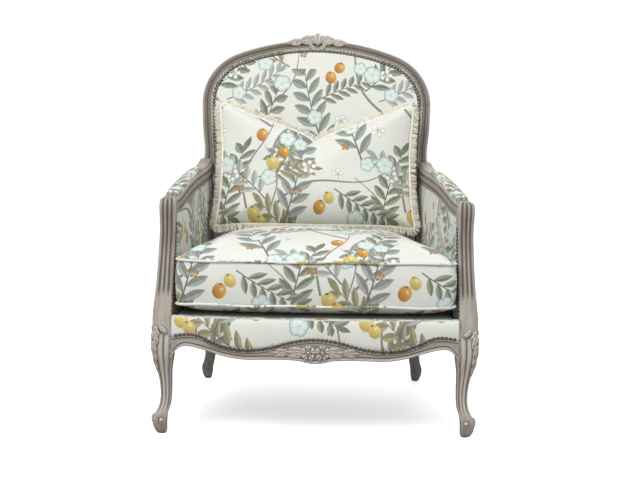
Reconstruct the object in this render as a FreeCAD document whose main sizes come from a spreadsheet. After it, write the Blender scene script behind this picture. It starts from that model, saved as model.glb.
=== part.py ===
import FreeCAD, Part
import math
import os
import Sketcher

# Bergere chair. A carved show-wood frame with cabriole front legs carries closed, upholstered
# arms and back, a webbed seat platform, a loose boxed cushion and a loose fringed pillow.
# X runs to the viewer's right, +Y to the back, +Z up. The origin is on the floor, under the
# middle of the chair's box. A name ending in _right lies at +X and one ending in _left at -X.

Vector = FreeCAD.Vector
doc = FreeCAD.newDocument("bergere_chair")

# Driving sizes, in millimetres and degrees
SIZES = [
    ("chair_height", 1018, "floor to the tip of the crest"),
    ("glide_height", 3, "nail-on glide under each foot"),
    ("glide_radius", 8, "nail-on glide under each foot"),
    ("seat_front", 399, "from the origin forward to the middle of the front rail"),
    ("rail_bow", 26, "how far the front rail bows forward in plan"),
    ("rail_thick", 34, "front rail, front to back"),
    ("rail_top", 262, "top of the four seat rails"),
    ("rail_middle_low", 181, "lowest point of the front rail, under its flowers"),
    ("rail_swag_low", 188, "underside of the front rail between flowers and knee"),
    ("rail_end_low", 216, "underside of the front rail beside the knee"),
    ("wood_line_middle", 236, "upper edge of the show wood at the middle of the front rail"),
    ("wood_line_swag", 209, "lowest point of that edge"),
    ("wood_line_end", 242, "that edge beside the knee"),
    ("knee_x", 361, "centre of the knee block"),
    ("knee_y", 347, "centre of the knee block, forward of the origin"),
    ("knee_top", 243, "top of the front leg, where the arm post stands on it"),
    ("knee_width", 53, "knee block"),
    ("ankle_width", 27, "thinnest part of the front leg"),
    ("foot_width", 38, "scroll of the front foot"),
    ("front_foot_x", 365, "front foot"),
    ("front_foot_y", 349, "front foot, forward of the origin"),
    ("toe_width", 22, "where the foot meets its glide"),
    ("leg_swing", 7, "how far the ankle is drawn in along the diagonal"),
    ("post_top", 540, "where the arm post meets the arm"),
    ("post_top_x", 359, "centre of the arm post at its top"),
    ("post_top_y", 306, "the same, forward of the origin"),
    ("post_top_width", 39, "arm post at its top"),
    ("arm_height", 46, "show wood of the arm, top to bottom"),
    ("arm_width", 38, "show wood of the arm, across"),
    ("arm_front_y", 327, "front end of the arm, forward of the origin"),
    ("arm_front_z", 541, "centre of the arm at its front end"),
    ("arm_back_x", 313, "centre of the arm where it meets the back post"),
    ("arm_back_y", 284, "the same, behind the origin"),
    ("arm_back_z", 612, "centre of the arm there"),
    ("arm_bow", 13, "how far the arm bows outward in plan"),
    ("arm_pad_height", 30, "padded rest on the arm, with the part let into the wood"),
    ("arm_pad_width", 33, "padded rest on the arm"),
    ("back_tilt", 13.3, "lean of the back"),
    ("back_base_y", 235, "front face of the back frame at the height back_base_z"),
    ("back_base_z", 450, "height at which back_base_y is measured"),
    ("back_half_width", 330, "half the back frame at its widest"),
    ("back_waist_half", 320, "half the back frame at its waist"),
    ("back_wide_at", 374, "widest place of the back, up its slope from its base"),
    ("back_waist_at", 215, "waist of the back, up its slope from its base"),
    ("back_arch_at", 564, "top of the arch, up its slope, without the crest"),
    ("back_arch_radius", 620, "arch of the top rail"),
    ("back_shoulder_radius", 156, "shoulders of the back"),
    ("shoulder_turn", 22, "slope at which the arch meets the shoulder"),
    ("back_bottom_at", -158, "bottom of the inside back, down its slope"),
    ("frame_face", 29, "face width of the moulded back frame"),
    ("frame_depth", 38, "front to back of the moulded back frame"),
    ("crest_half", 84, "half the length of the carved crest"),
    ("crest_depth", 26, "carved crest, front to back"),
    ("hind_foot_x", 307, "rear foot"),
    ("hind_foot_y", 361, "rear foot, behind the origin"),
    ("hind_ankle_x", 295, "rear leg above its foot"),
    ("hind_seat_y", 234, "rear leg at the seat, behind the origin"),
    ("hind_ankle_width", 31, "rear leg above its foot"),
    ("hind_seat_depth", 46, "rear leg at the seat, front to back"),
    ("rail_rebate", 6, "rebate for the cloth above the wood line of the front rail"),
    ("side_rail_front", 383, "outer face of the side rail at the front leg, from the middle"),
    ("side_rail_back", 320, "the same at the back post"),
    ("side_rail_low", 205, "underside of the side and back rails"),
    ("side_rail_thick", 26, "side rails and back rail, across"),
    ("dowel_radius", 5, "dowels of the rail joints"),
    ("dowel_length", 60, "dowels of the rail joints"),
    ("screw_radius", 2.5, "corner block screws"),
    ("screw_length", 50, "corner block screws"),
    ("web_width", 50, "webbing straps"),
    ("web_thick", 1.2, "webbing straps"),
    ("deck_top", 285, "top of the seat platform"),
    ("cloth", 2, "a layer of cover cloth with its lining"),
    ("back_pad", 30, "stuffing of the inside back, in front of its webbing"),
    ("arm_inside_front", 338, "face of the inside arm at the front, from the middle"),
    ("arm_inside_back", 300, "face of the inside arm at the back, from the middle"),
    ("arm_outside_front", 372, "face of the outside arm at the front, from the middle"),
    ("arm_outside_back", 318, "face of the outside arm at the back, from the middle"),
    ("arm_stuffing", 16, "stuffing of the inside arm"),
    ("nail_band", 9, "row of upholstery nails"),
    ("nail_rise", 3.5, "how far the nails stand out"),
    ("cushion_front_half", 333, "half the seat cushion at its front"),
    ("cushion_back_half", 292, "half the seat cushion at its back"),
    ("cushion_front_y", 368, "front of the cushion, forward of the origin"),
    ("cushion_back_y", 160, "back of the cushion, behind the origin"),
    ("cushion_low_seam", 316, "lower welt of the seat cushion"),
    ("cushion_top_seam", 421, "upper welt of the seat cushion"),
    ("cushion_bow", 22, "bow of the cushion's front, in plan"),
    ("cushion_crown", 60, "rise of the crown above the upper welt"),
    ("cushion_belly", 29, "drop of the belly below the lower welt"),
    ("welt_radius", 3.2, "corded welt"),
    ("pillow_half", 268, "half the pillow at its seam"),
    ("pillow_height", 336, "pillow at its corners, along its lean"),
    ("pillow_chop", 88, "how deep the top edge is chopped in"),
    ("pillow_thick", 130, "pillow at its middle"),
    ("pillow_lean", 14, "lean of the pillow"),
    ("pillow_y", 187, "middle of the pillow, behind the origin"),
    ("pillow_z", 631.5, "middle of the pillow, above the floor"),
    ("fringe_width", 20, "brush fringe outside the pillow's seam"),
    ("fringe_thick", 13, "brush fringe"),
    ("lift_gap", 0.8, "room under the loose cushion and the loose pillow"),
]
sheet = doc.addObject("Spreadsheet::Sheet", "sizes")
for row, (alias, amount, note) in enumerate(SIZES, start=1):
    sheet.set("A" + str(row), note)
    sheet.set("B" + str(row), str(amount))
    sheet.setAlias("B" + str(row), alias)
doc.recompute()


class Size:
    """A size with the text of the expression that binds it to the sheet."""

    def __init__(self, amount, text):
        self.amount = amount
        self.text = text

    def __add__(self, other):
        other = as_size(other)
        return Size(self.amount + other.amount, "(" + self.text + " + " + other.text + ")")

    def __sub__(self, other):
        other = as_size(other)
        return Size(self.amount - other.amount, "(" + self.text + " - " + other.text + ")")

    def __mul__(self, other):
        other = as_size(other)
        return Size(self.amount * other.amount, "(" + self.text + " * " + other.text + ")")

    def __truediv__(self, other):
        other = as_size(other)
        return Size(self.amount / other.amount, "(" + self.text + " / " + other.text + ")")

    def __neg__(self):
        return Size(-self.amount, "(0 - " + self.text + ")")

    def __rsub__(self, other):
        return as_size(other) - self

    __radd__ = __add__
    __rmul__ = __mul__


def as_size(amount):
    return amount if isinstance(amount, Size) else Size(amount, format(amount, ".6g"))


def size(alias):
    """The named cell of the sheet."""
    return Size(float(getattr(sheet, alias)), "sizes." + alias)


def between(first, last, share):
    """The size a share of the way from first to last."""
    return as_size(first) * (1 - share) + as_size(last) * share


# Helpers for bodies, sketches and features
parts = {}


def keep(node, item):
    """Gives a finished sub-part the name of its node."""
    item.Label = node
    parts[node] = item
    return item


def new_body(name):
    return doc.addObject("PartDesign::Body", name)


def origin_plane(body, role):
    return [each for each in body.Origin.OriginFeatures if each.Role == role][0]


def new_sketch(body, role, name, offset=(0, 0, 0)):
    """A sketch on one of the body's own planes, moved by offset along the sketch's axes."""
    sketch = body.newObject("Sketcher::SketchObject", name)
    sketch.AttachmentSupport = [(origin_plane(body, role), "")]
    sketch.MapMode = "FlatFace"
    for axis, amount in zip("xyz", offset):
        sketch.setExpression("AttachmentOffset.Base." + axis, as_size(amount).text)
    return sketch


def bind(sketch, constraint, amount):
    """Adds a dimension to the sketch and binds it to the sheet."""
    index = sketch.addConstraint(constraint)
    sketch.renameConstraint(index, "d" + str(index))
    sketch.setExpression("Constraints.d" + str(index), as_size(amount).text)


def pin_point(sketch, edge, end, x, y):
    """Fixes an end of an edge at x, y, each bound to the sheet."""
    for kind, amount in (("DistanceX", as_size(x)), ("DistanceY", as_size(y))):
        bind(sketch, Sketcher.Constraint(kind, -1, 1, edge, end, amount.amount), amount)


def draw_outline(sketch, start, steps):
    """Draws a closed outline of lines and arcs. A step is an end point, or that and a bulge.

    A bulge is how far an arc swells to the right of its chord, looking along the chord.
    """
    here = (as_size(start[0]), as_size(start[1]))
    first_edge = sketch.GeometryCount
    edges = []
    rules = []
    bound = []
    last = None
    for count, step in enumerate(steps):
        edge = first_edge + count
        there = (as_size(step[0]), as_size(step[1]))
        a = Vector(here[0].amount, here[1].amount, 0)
        b = Vector(there[0].amount, there[1].amount, 0)
        ends = (1, 2)
        swell = as_size(step[2]).amount if len(step) == 3 else 0
        if swell:
            chord = b - a
            radius = (chord.Length ** 2 / 4 + swell ** 2) / (2 * abs(swell))
            side = Vector(chord.y, -chord.x, 0).normalize()
            centre = (a + b) * 0.5 + side * (swell - math.copysign(radius, swell))
            begin, finish = (a, b) if swell > 0 else (b, a)
            begin_angle = math.atan2(begin.y - centre.y, begin.x - centre.x)
            finish_angle = math.atan2(finish.y - centre.y, finish.x - centre.x)
            if finish_angle < begin_angle:
                finish_angle += 2 * math.pi
            circle = Part.Circle(centre, Vector(0, 0, 1), radius)
            edges.append(Part.ArcOfCircle(circle, begin_angle, finish_angle))
            ends = (1, 2) if swell > 0 else (2, 1)
            rules.append(Sketcher.Constraint("Radius", edge, radius))
        else:
            edges.append(Part.LineSegment(a, b))
        if last:
            rules.append(Sketcher.Constraint("Coincident", last[0], last[1], edge, ends[0]))
        for kind, amount in (("DistanceX", here[0]), ("DistanceY", here[1])):
            bound.append((len(rules), amount))
            rules.append(Sketcher.Constraint(kind, -1, 1, edge, ends[0], amount.amount))
        if count == 0:
            first = (edge, ends[0])
        last = (edge, ends[1])
        here = there
    rules.append(Sketcher.Constraint("Coincident", last[0], last[1], first[0], first[1]))
    first_rule = sketch.ConstraintCount
    sketch.addGeometry(edges, False)
    sketch.addConstraint(rules)
    for index, amount in bound:
        if "sizes." in amount.text:
            name = "d" + str(first_rule + index)
            sketch.renameConstraint(first_rule + index, name)
            sketch.setExpression("Constraints." + name, amount.text)
    return sketch


def wood_section(sketch, width, depth, ease, groove=0, grooved=()):
    """A rectangle about the sketch's origin with eased corners, and two grooves in some sides.

    The sides are numbered 0 for the front, 1 right, 2 back and 3 left.
    """
    w = as_size(width) / 2
    d = as_size(depth) / 2
    e = as_size(ease)
    g = as_size(groove)
    points = []
    turns = [(1, 0, 0, -1), (0, 1, 1, 0), (-1, 0, 0, 1), (0, -1, -1, 0)]
    for side, (ax, ay, bx, by) in enumerate(turns):
        half = w if side % 2 == 0 else d
        out = d if side % 2 == 0 else w
        spots = [(-half + e, out)]
        if side in grooved:
            for share in (-0.45, 0.45):
                spots += [(half * (share - 0.12), out), (half * share, out - g), (half * (share + 0.12), out)]
        spots.append((half - e, out))
        for run, off in spots:
            points.append((run * ax + off * bx, run * ay + off * by))
    draw_outline(sketch, points[0], points[1:] + [points[0]])
    return sketch


def loft(body, name, stations, plane="XY_Plane", grooved=()):
    """Lofts wood sections. A station is (across, along, up, width, depth, ease, groove, tilt)."""
    sketches = []
    for index, station in enumerate(stations):
        across, along, up, width, depth, ease, groove, tilt = (list(station) + [0, 0])[:8]
        sketch = new_sketch(body, plane, name + "_section_" + str(index + 1))
        turned = FreeCAD.Rotation(Vector(1, 0, 0), as_size(tilt).amount)
        sketch.AttachmentOffset = FreeCAD.Placement(Vector(0, 0, 0), turned)
        for axis, amount in zip("xyz", (across, along, up)):
            sketch.setExpression("AttachmentOffset.Base." + axis, as_size(amount).text)
        wood_section(sketch, width, depth, ease, groove, grooved)
        sketches.append(sketch)
    return loft_through(body, name, sketches)


def loft_through(body, name, sketches):
    feature = body.newObject("PartDesign::AdditiveLoft", name)
    feature.Profile = sketches[0]
    feature.Sections = sketches[1:]
    feature.Ruled = True
    body.Tip = feature
    return feature


def sawn(body, name, stations):
    """A piece sawn from one blank to two curved patterns, its front view and its side view.

    A station is (across, along, up, width, depth), from the foot upwards.
    """
    views = []
    for place_at, size_at in ((0, 3), (1, 4)):
        high_side = [(row[place_at] + row[size_at] / 2, row[2]) for row in stations]
        low_side = [(row[place_at] - row[size_at] / 2, row[2]) for row in reversed(stations)]
        views.append(high_side + low_side)
    along = [point[0] for point in views[1]]
    rear = max(along, key=lambda amount: amount.amount)
    front = min(along, key=lambda amount: amount.amount)
    pattern = new_sketch(body, "XZ_Plane", name + "_front_view", (0, 0, -rear - 1))
    draw_outline(pattern, views[0][0], views[0][1:] + [views[0][0]])
    body.Tip = pad(body, pattern, name + "_front_sawn", rear - front + 2)
    pattern = new_sketch(body, "YZ_Plane", name + "_side_view")
    low = stations[0][2] - 5
    high = stations[-1][2] + 5
    waste = [(rear + 5, low), (rear + 5, high), (front - 5, high), (front - 5, low)]
    draw_outline(pattern, waste[0], waste[1:] + [waste[0]])
    draw_outline(pattern, views[1][0], views[1][1:] + [views[1][0]])
    body.Tip = pocket(body, pattern, name + "_side_sawn")
    return body


def pad(body, sketch, name, length, backwards=False):
    feature = body.newObject("PartDesign::Pad", name)
    feature.Profile = sketch
    feature.setExpression("Length", as_size(length).text)
    feature.Reversed = backwards
    return feature


def pocket(body, sketch, name, length=None, backwards=False):
    """A pocket of the given depth, or one that goes right through both ways."""
    feature = body.newObject("PartDesign::Pocket", name)
    feature.Profile = sketch
    if length is None:
        feature.Type = 1
        feature.Midplane = True
    else:
        feature.setExpression("Length", as_size(length).text)
        feature.Reversed = backwards
    return feature


def mirrored(node, source):
    """The left-hand piece: the right-hand one mirrored across the chair's middle."""
    item = doc.addObject("Part::Mirroring", node)
    item.Source = source
    item.Base = (0, 0, 0)
    item.Normal = (1, 0, 0)
    return keep(node, item)


def fitted(node, blank, neighbours):
    """The blank cut to fit against its neighbours."""
    tool = neighbours[0]
    if len(neighbours) > 1:
        tool = doc.addObject("Part::Compound", node + "_neighbours")
        tool.Links = neighbours
    item = doc.addObject("Part::Cut", node)
    item.Base = blank
    item.Tool = tool
    return keep(node, item)


def place(item, x=0, y=0, z=0, axis=(0, 0, 1), angle=0):
    """Puts a body at x, y, z, turned about axis, all bound to the sheet."""
    turned = FreeCAD.Rotation(Vector(*axis), as_size(angle).amount)
    item.Placement = FreeCAD.Placement(Vector(0, 0, 0), turned)
    for name, amount in zip("xyz", (x, y, z)):
        item.setExpression("Placement.Base." + name, as_size(amount).text)
    if isinstance(angle, Size):
        item.setExpression("Placement.Rotation.Angle", angle.text)
    return item


# Foot glides: round nail-on discs, one under each foot
foot_spots = [
    ("front_left", -size("front_foot_x"), -size("front_foot_y")),
    ("front_right", size("front_foot_x"), -size("front_foot_y")),
    ("hind_left", -size("hind_foot_x"), size("hind_foot_y")),
    ("hind_right", size("hind_foot_x"), size("hind_foot_y")),
]
glides = []
for name, x, y in foot_spots:
    glide = doc.addObject("Part::Cylinder", "glide_" + name)
    glide.setExpression("Radius", "sizes.glide_radius")
    glide.setExpression("Height", "sizes.glide_height")
    place(glide, x, y, 0)
    glides.append(glide)
group = doc.addObject("Part::Compound", "foot_glides")
group.Links = glides
keep("foot_glides", group)

# Front legs: a cabriole leg in one piece, square knee, drawn-in ankle, scrolled foot. The curve
# runs along the plan's diagonal, so it moves as far in X as it does in Y.
knee_x = size("knee_x")
knee_y = -size("knee_y")
foot_x = size("front_foot_x")
foot_y = -size("front_foot_y")
swing = size("leg_swing")
knee_w = size("knee_width")
ankle_w = size("ankle_width")
foot_w = size("foot_width")
front_leg_stations = [
    (foot_x, foot_y, size("glide_height"), size("toe_width"), size("toe_width")),
    (foot_x + 2, foot_y - 2, 12, foot_w - 10, foot_w - 10),
    (foot_x + 3, foot_y - 3, 24, foot_w - 3, foot_w - 3),
    (foot_x + 2, foot_y - 2, 39, foot_w, foot_w),
    (foot_x - 1, foot_y + 1, 50, foot_w - 5, foot_w - 5),
    (knee_x - swing + 1, knee_y + swing - 1, 62, ankle_w + 3, ankle_w + 3),
    (knee_x - swing, knee_y + swing, 84, ankle_w, ankle_w),
    (knee_x - swing + 2, knee_y + swing - 2, 122, ankle_w + 2, ankle_w + 2),
    (knee_x - 2, knee_y + 2, 155, ankle_w + 8, ankle_w + 8),
    (knee_x, knee_y, 174, ankle_w + 16, ankle_w + 16),
    (knee_x + 1, knee_y - 1, 192, knee_w - 4, knee_w - 4),
    (knee_x + 1, knee_y - 1, 212, knee_w, knee_w),
    (knee_x, knee_y, size("knee_top"), knee_w, knee_w),
]
front_leg_right = keep("front_leg_right", new_body("front_leg_right"))
sawn(front_leg_right, "cabriole", front_leg_stations)
front_leg_left = mirrored("front_leg_left", front_leg_right)

# Arm posts: they stand on the front legs and sweep back and in to the arms
top_x = size("post_top_x")
top_y = -size("post_top_y")
post_w = size("post_top_width")
post_stations = [
    (knee_x, knee_y, size("knee_top"), knee_w - 1, knee_w - 1),
    (knee_x + 4, knee_y + 3, 264, 50, 50),
    (knee_x + 6, knee_y + 8, 288, 47, 47),
    (knee_x + 5, knee_y + 18, 322, 44, 44),
    (knee_x + 3, knee_y + 30, 362, 42, 42),
    (knee_x, knee_y + 45, 450, post_w, post_w),
    (top_x, top_y - 2, 490, post_w - 1, post_w),
    (top_x, top_y, size("post_top"), post_w, post_w + 1),
]
arm_post_blank = new_body("arm_post_blank")
sawn(arm_post_blank, "sweep", post_stations)

# Arms: a moulded rail from a scroll at the arm post back and up to the stile, bowed out in plan
arm_w = size("arm_width")
arm_h = size("arm_height")
arm_x = [top_x, size("arm_back_x")]
arm_z = [size("arm_front_z"), size("arm_back_z")]
arm_y = size("arm_front_y")
arm_stations = [
    (arm_x[0], arm_z[0] - 4, arm_y, arm_w - 16, arm_h - 22, 4, 1),
    (arm_x[0], arm_z[0] - 1, arm_y - 5, arm_w - 5, arm_h - 9, 7, 1),
    (arm_x[0], arm_z[0], arm_y - 14, arm_w, arm_h - 2, 7, 2),
    (arm_x[0] - 1, arm_z[0] + 2, arm_y - 50, arm_w + 1, arm_h, 7, 2),
    (between(*arm_x, 0.14), between(*arm_z, 0.18), 215, arm_w + 4, arm_h, 7, 2),
    (between(*arm_x, 0.26), between(*arm_z, 0.4), 140, arm_w + 6, arm_h, 7, 2),
    (between(*arm_x, 0.43), between(*arm_z, 0.6), 50, arm_w + 7, arm_h, 7, 2),
    (between(*arm_x, 0.6), between(*arm_z, 0.76), -45, arm_w + 8, arm_h, 7, 2),
    (between(*arm_x, 0.78), between(*arm_z, 0.88), -140, arm_w + 8, arm_h, 7, 2),
    (arm_x[1], arm_z[1], -size("arm_back_y"), arm_w + 6, arm_h - 2, 7, 2),
]
arm_blank = new_body("arm_blank")
loft(arm_blank, "arm", arm_stations, "XZ_Plane", (1, 3))

# Where the arch of the back meets its shoulders, and the shoulders meet the stiles
turn = size("shoulder_turn")
arch_r = size("back_arch_radius")
arch_centre = size("back_arch_at") - arch_r
shoulder_r = size("back_shoulder_radius")
reach = arch_r - shoulder_r
spin = math.radians(turn.amount)
shoulder_x = Size(reach.amount * math.sin(spin), "(" + reach.text + " * sin(" + turn.text + " * 1 deg))")
shoulder_y = Size(reach.amount * math.cos(spin), "(" + reach.text + " * cos(" + turn.text + " * 1 deg))")
shoulder_y = arch_centre + shoulder_y
lean = "sizes.back_tilt * 1 deg"
lean_sin = Size(math.sin(math.radians(size("back_tilt").amount)), "sin(" + lean + ")")
lean_cos = Size(math.cos(math.radians(size("back_tilt").amount)), "cos(" + lean + ")")
stile_top_y = size("back_base_y") + shoulder_y * lean_sin + size("frame_depth") / 2 * lean_cos
stile_top_z = size("back_base_z") + shoulder_y * lean_cos - size("frame_depth") / 2 * lean_sin


# Back posts: rear leg and stile sawn in one piece, raked back above the seat and kicked back
# below it
tilt = -size("back_tilt")
stile_x = shoulder_x + shoulder_r - size("frame_face") / 2
stile_w = size("frame_face")
stile_d = size("frame_depth")
hind_x = size("hind_foot_x")
hind_y = size("hind_foot_y")
shin_x = size("hind_ankle_x")
shin_w = size("hind_ankle_width")
seat_y = size("hind_seat_y")
seat_d = size("hind_seat_depth")
back_post_stations = [
    (hind_x, hind_y, size("glide_height"), 20, 20, 7),
    (hind_x + 1, hind_y - 2, 12, 27, 28, 9),
    (hind_x + 1, hind_y - 9, 24, shin_w, 34, 9),
    (hind_x, hind_y - 24, 40, shin_w + 2, 36, 9),
    (shin_x + 6, hind_y - 47, 60, shin_w, 34, 7),
    (shin_x + 1, hind_y - 72, 85, shin_w - 1, 33, 7),
    (shin_x, hind_y - 94, 112, shin_w, 34, 6),
    (shin_x + 2, hind_y - 112, 145, shin_w + 2, 38, 6),
    (shin_x + 5, seat_y + 6, 185, shin_w + 6, seat_d - 2, 5),
    (shin_x + 7, seat_y, 230, 38, seat_d, 5),
    (shin_x + 8, seat_y - 2, 300, 38, seat_d, 5),
    (shin_x + 9, seat_y + 6, 380, 36, seat_d - 3, 5, 0, tilt * 0.5),
    (shin_x + 11, seat_y + 23.5, 465, 35, 42, 5, 0, tilt),
    (shin_x + 14, seat_y + 46, 560, 36, 40, 5, 0, tilt),
    (shin_x + 18, seat_y + 58, 612, 37, 39, 4, 0, tilt),
    (stile_x - 9, seat_y + 64, 638, stile_w + 1, 39, 4, 0, tilt),
    (stile_x - 10, seat_y + 73, 675, stile_w, stile_d, 4, 0, tilt),
    (stile_x - 5, seat_y + 84, 723, stile_w, stile_d, 4, 0, tilt),
    (stile_x - 2, seat_y + 93.5, 762, stile_w, stile_d, 4, 0, tilt),
    (stile_x, stile_top_y, stile_top_z, stile_w, stile_d, 4, 0, tilt),
]
back_post_right = keep("back_post_right", new_body("back_post_right"))
loft(back_post_right, "stile", back_post_stations)
back_post_left = mirrored("back_post_left", back_post_right)

# The arm butts against the stile, and the arm post butts against the arm from below
armrest_right = fitted("armrest_right", arm_blank, [back_post_right])
armrest_left = mirrored("armrest_left", armrest_right)
arm_post_right = fitted("arm_post_right", arm_post_blank, [arm_blank])
arm_post_left = mirrored("arm_post_left", arm_post_right)

# Crest rail: the moulded arch of the back, turned round the centres of its arch and of its two
# shoulders, with a carved shell and leaves standing above the middle. It lies in the plane of
# the back: its own X runs across, Y up the slope and Z to the front.
def on_back(body):
    """Lays a body in the plane of the back's front face."""
    return place(body, 0, size("back_base_y"), size("back_base_z"), (1, 0, 0), 90 - size("back_tilt"))


def turned_moulding(body, name, plane, offset, axis_at, edge_at, outline, angle, backwards=False, midway=False):
    """Turns a moulding about an upright line of its sketch. The outline starts at edge_at."""
    sketch = new_sketch(body, plane, name + "_section", offset)
    points = [(edge_at + across, up) + tuple(rest) for across, up, *rest in outline]
    draw_outline(sketch, points[0][:2], points[1:] + [points[0][:2]])
    line = sketch.addGeometry(Part.LineSegment(Vector(axis_at.amount, 0, 0), Vector(axis_at.amount, 40, 0)), True)
    pin_point(sketch, line, 1, axis_at, 0)
    pin_point(sketch, line, 2, axis_at, 40)
    feature = body.newObject("PartDesign::Revolution", name)
    feature.Profile = sketch
    feature.ReferenceAxis = (sketch, ["Axis0"])
    feature.setExpression("Angle", as_size(angle).text)
    feature.Midplane = midway
    feature.Reversed = backwards
    body.Tip = feature
    return feature


def frame_moulding():
    """Section of the back frame from its outer edge: bead, hollow, bead, then the square back."""
    face = size("frame_face")
    deep = size("frame_depth")
    return [
        (0, -4),
        (-4, -1),
        (-8, -2),
        (-face / 2, -7),
        (-face + 7, -2),
        (-face + 3, -1),
        (-face, -4),
        (-face, -deep),
        (0, -deep),
    ]


crest_rail = on_back(keep("crest_rail", new_body("crest_rail")))
arch = turned_moulding(
    crest_rail, "arch", "YZ_Plane", (0, 0, 0), arch_centre, size("back_arch_at"),
    frame_moulding(), turn * 2, midway=True,
)
shoulder = turned_moulding(
    crest_rail, "shoulder", "XZ_Plane", (0, 0, -shoulder_y), shoulder_x, shoulder_x + shoulder_r,
    frame_moulding(), 90 - turn,
)
crown = size("back_arch_at")


def relief(body, name, plane, offset, across, up, outline, length):
    """A raised carving: an outline of arcs about across, up, padded by length."""
    sketch = new_sketch(body, plane, name + "_outline", offset)
    points = [(across + x, up + y) + tuple(rest) for x, y, *rest in outline]
    draw_outline(sketch, points[0][:2], points[1:] + [points[0][:2]])
    feature = pad(body, sketch, name, length)
    body.Tip = feature
    return feature


shell = [(14, -31), (24, -12, 4), (20, 5, 5), (8, 14, 5), (-8, 14, 6), (-20, 5, 5), (-24, -12, 5), (-14, -31, 4)]
inner_leaf = [(18, -27), (40, -27, 2), (57, -16, 3), (52, -1, 4), (38, 8, 4), (24, 7, 4)]
outer_leaf = [(50, -25), (70, -25, 2), (84, -8, 5), (68, 0, 3), (54, 3, 3)]
crest_deep = size("crest_depth")
leaf_one = relief(crest_rail, "outer_leaf", "XY_Plane", (0, 0, -crest_deep), 0, crown, outer_leaf, crest_deep + 2)
leaf_two = relief(crest_rail, "inner_leaf", "XY_Plane", (0, 0, -crest_deep), 0, crown, inner_leaf, crest_deep + 4)
both = crest_rail.newObject("PartDesign::Mirrored", "other_side")
both.Originals = [shoulder, leaf_one, leaf_two]
both.MirrorPlane = (origin_plane(crest_rail, "YZ_Plane"), [""])
crest_rail.Tip = both
relief(crest_rail, "shell", "XY_Plane", (0, 0, -crest_deep), 0, crown, shell, crest_deep + 6)

# Seat rails. The front rail is sawn from a bowed blank: its lower edge swings down under the
# flowers, and above the wood line it is rebated for the cloth.
rail_top = size("rail_top")
rail_end_y = size("rail_bow") - size("seat_front")
bow = size("rail_bow")
rebate = size("rail_rebate")
wood_line = [
    (90, size("wood_line_middle") - 17, 3),
    (150, size("wood_line_swag"), -1),
    (215, size("wood_line_swag") + 5, -2),
    (280, size("wood_line_end"), -6),
    (312, size("wood_line_end") - 1, 1),
    (348, size("wood_line_end") - 7, 1),
]
swag_line = [
    (34, size("rail_swag_low") - 2, -2),
    (80, size("rail_swag_low") + 1, 1),
    (174, size("rail_swag_low") - 1, 1),
    (222, size("rail_swag_low") + 8, -2),
    (262, size("rail_end_low") - 9, 1),
    (321, size("rail_end_low"), 2),
    (348, size("rail_end_low") - 10, 2),
]


def both_sides(middle, half, raised=0):
    """The whole curve from left to right, from its middle height and its right half."""
    curve = []
    spots = [(0, middle, 0)] + half
    for (x, z, bulge), (next_x, next_z, _) in zip(reversed(spots[1:]), reversed(spots[:-1])):
        curve.append((-next_x, next_z + raised, -bulge))
    first = (-spots[-1][0], spots[-1][1] + raised)
    curve += [(x, z + raised, -bulge) for x, z, bulge in half]
    return first, curve


def saw_along(body, name, middle, half, level, raised=0):
    """Saws away everything between the curve and level, right through from front to back."""
    sketch = new_sketch(body, "XZ_Plane", name + "_line")
    first, curve = both_sides(middle, half, raised)
    draw_outline(sketch, first, curve + [(348, level), (-348, level), first])
    feature = pocket(body, sketch, name)
    body.Tip = feature
    return feature


def bowed_band(body, name, front, back, low, high):
    """A band bowed in plan, between two distances set back from the front rail's face."""
    sketch = new_sketch(body, "XY_Plane", name + "_plan", (0, 0, low))
    draw_outline(sketch, (-348, rail_end_y + front), [
        (348, rail_end_y + front, bow),
        (348, rail_end_y + back),
        (-348, rail_end_y + back, -bow),
        (-348, rail_end_y + front),
    ])
    feature = pad(body, sketch, name, high - as_size(low))
    body.Tip = feature
    return feature


front_blank = new_body("front_rail_blank")
bowed_band(front_blank, "show_wood", 0, size("rail_thick"), 176, rail_top)
saw_along(front_blank, "upholstery_line", size("wood_line_middle"), wood_line, 300)
bowed_band(front_blank, "core", rebate, size("rail_thick"), 176, rail_top)
saw_along(front_blank, "swag", size("rail_middle_low"), swag_line, 150)
face = size("seat_front") - 6
flower = [(9, 0), (4.5, 7.8, 5), (-4.5, 7.8, 5), (-9, 0, 5), (-4.5, -7.8, 5), (4.5, -7.8, 5), (9, 0, 5)]
blossom = relief(front_blank, "flower", "XZ_Plane", (0, 0, face), 17, 208, flower[:-1], 9)
near_leaf = [(32, -14), (52, -11, 3), (64, -2, 3), (56, 8, 4), (40, 12, 3), (33, 4, 2)]
far_leaf = [(60, -11), (78, -10, 2), (94, -6, 3), (84, 3, 3), (66, 7, 3)]
leaf_three = relief(front_blank, "near_leaf", "XZ_Plane", (0, 0, face), 0, 206, near_leaf, 9)
leaf_four = relief(front_blank, "far_leaf", "XZ_Plane", (0, 0, face), 0, 205, far_leaf, 8)
button_sketch = new_sketch(front_blank, "XZ_Plane", "flower_heart", (0, 0, face))
button_sketch.addGeometry(Part.Circle(Vector(17, 208, 0), Vector(0, 0, 1), 3.5), False)
pin_point(button_sketch, 0, 3, 17, 208)
bind(button_sketch, Sketcher.Constraint("Radius", 0, 3.5), 3.5)
heart = pad(front_blank, button_sketch, "heart", 11)
front_blank.Tip = heart
other = front_blank.newObject("PartDesign::Mirrored", "left_carving")
other.Originals = [blossom, leaf_three, leaf_four, heart]
other.MirrorPlane = (origin_plane(front_blank, "YZ_Plane"), [""])
front_blank.Tip = other
both_legs = [front_leg_right, front_leg_left, arm_post_right, arm_post_left]
front_rail = fitted("front_rail", front_blank, both_legs)

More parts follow.
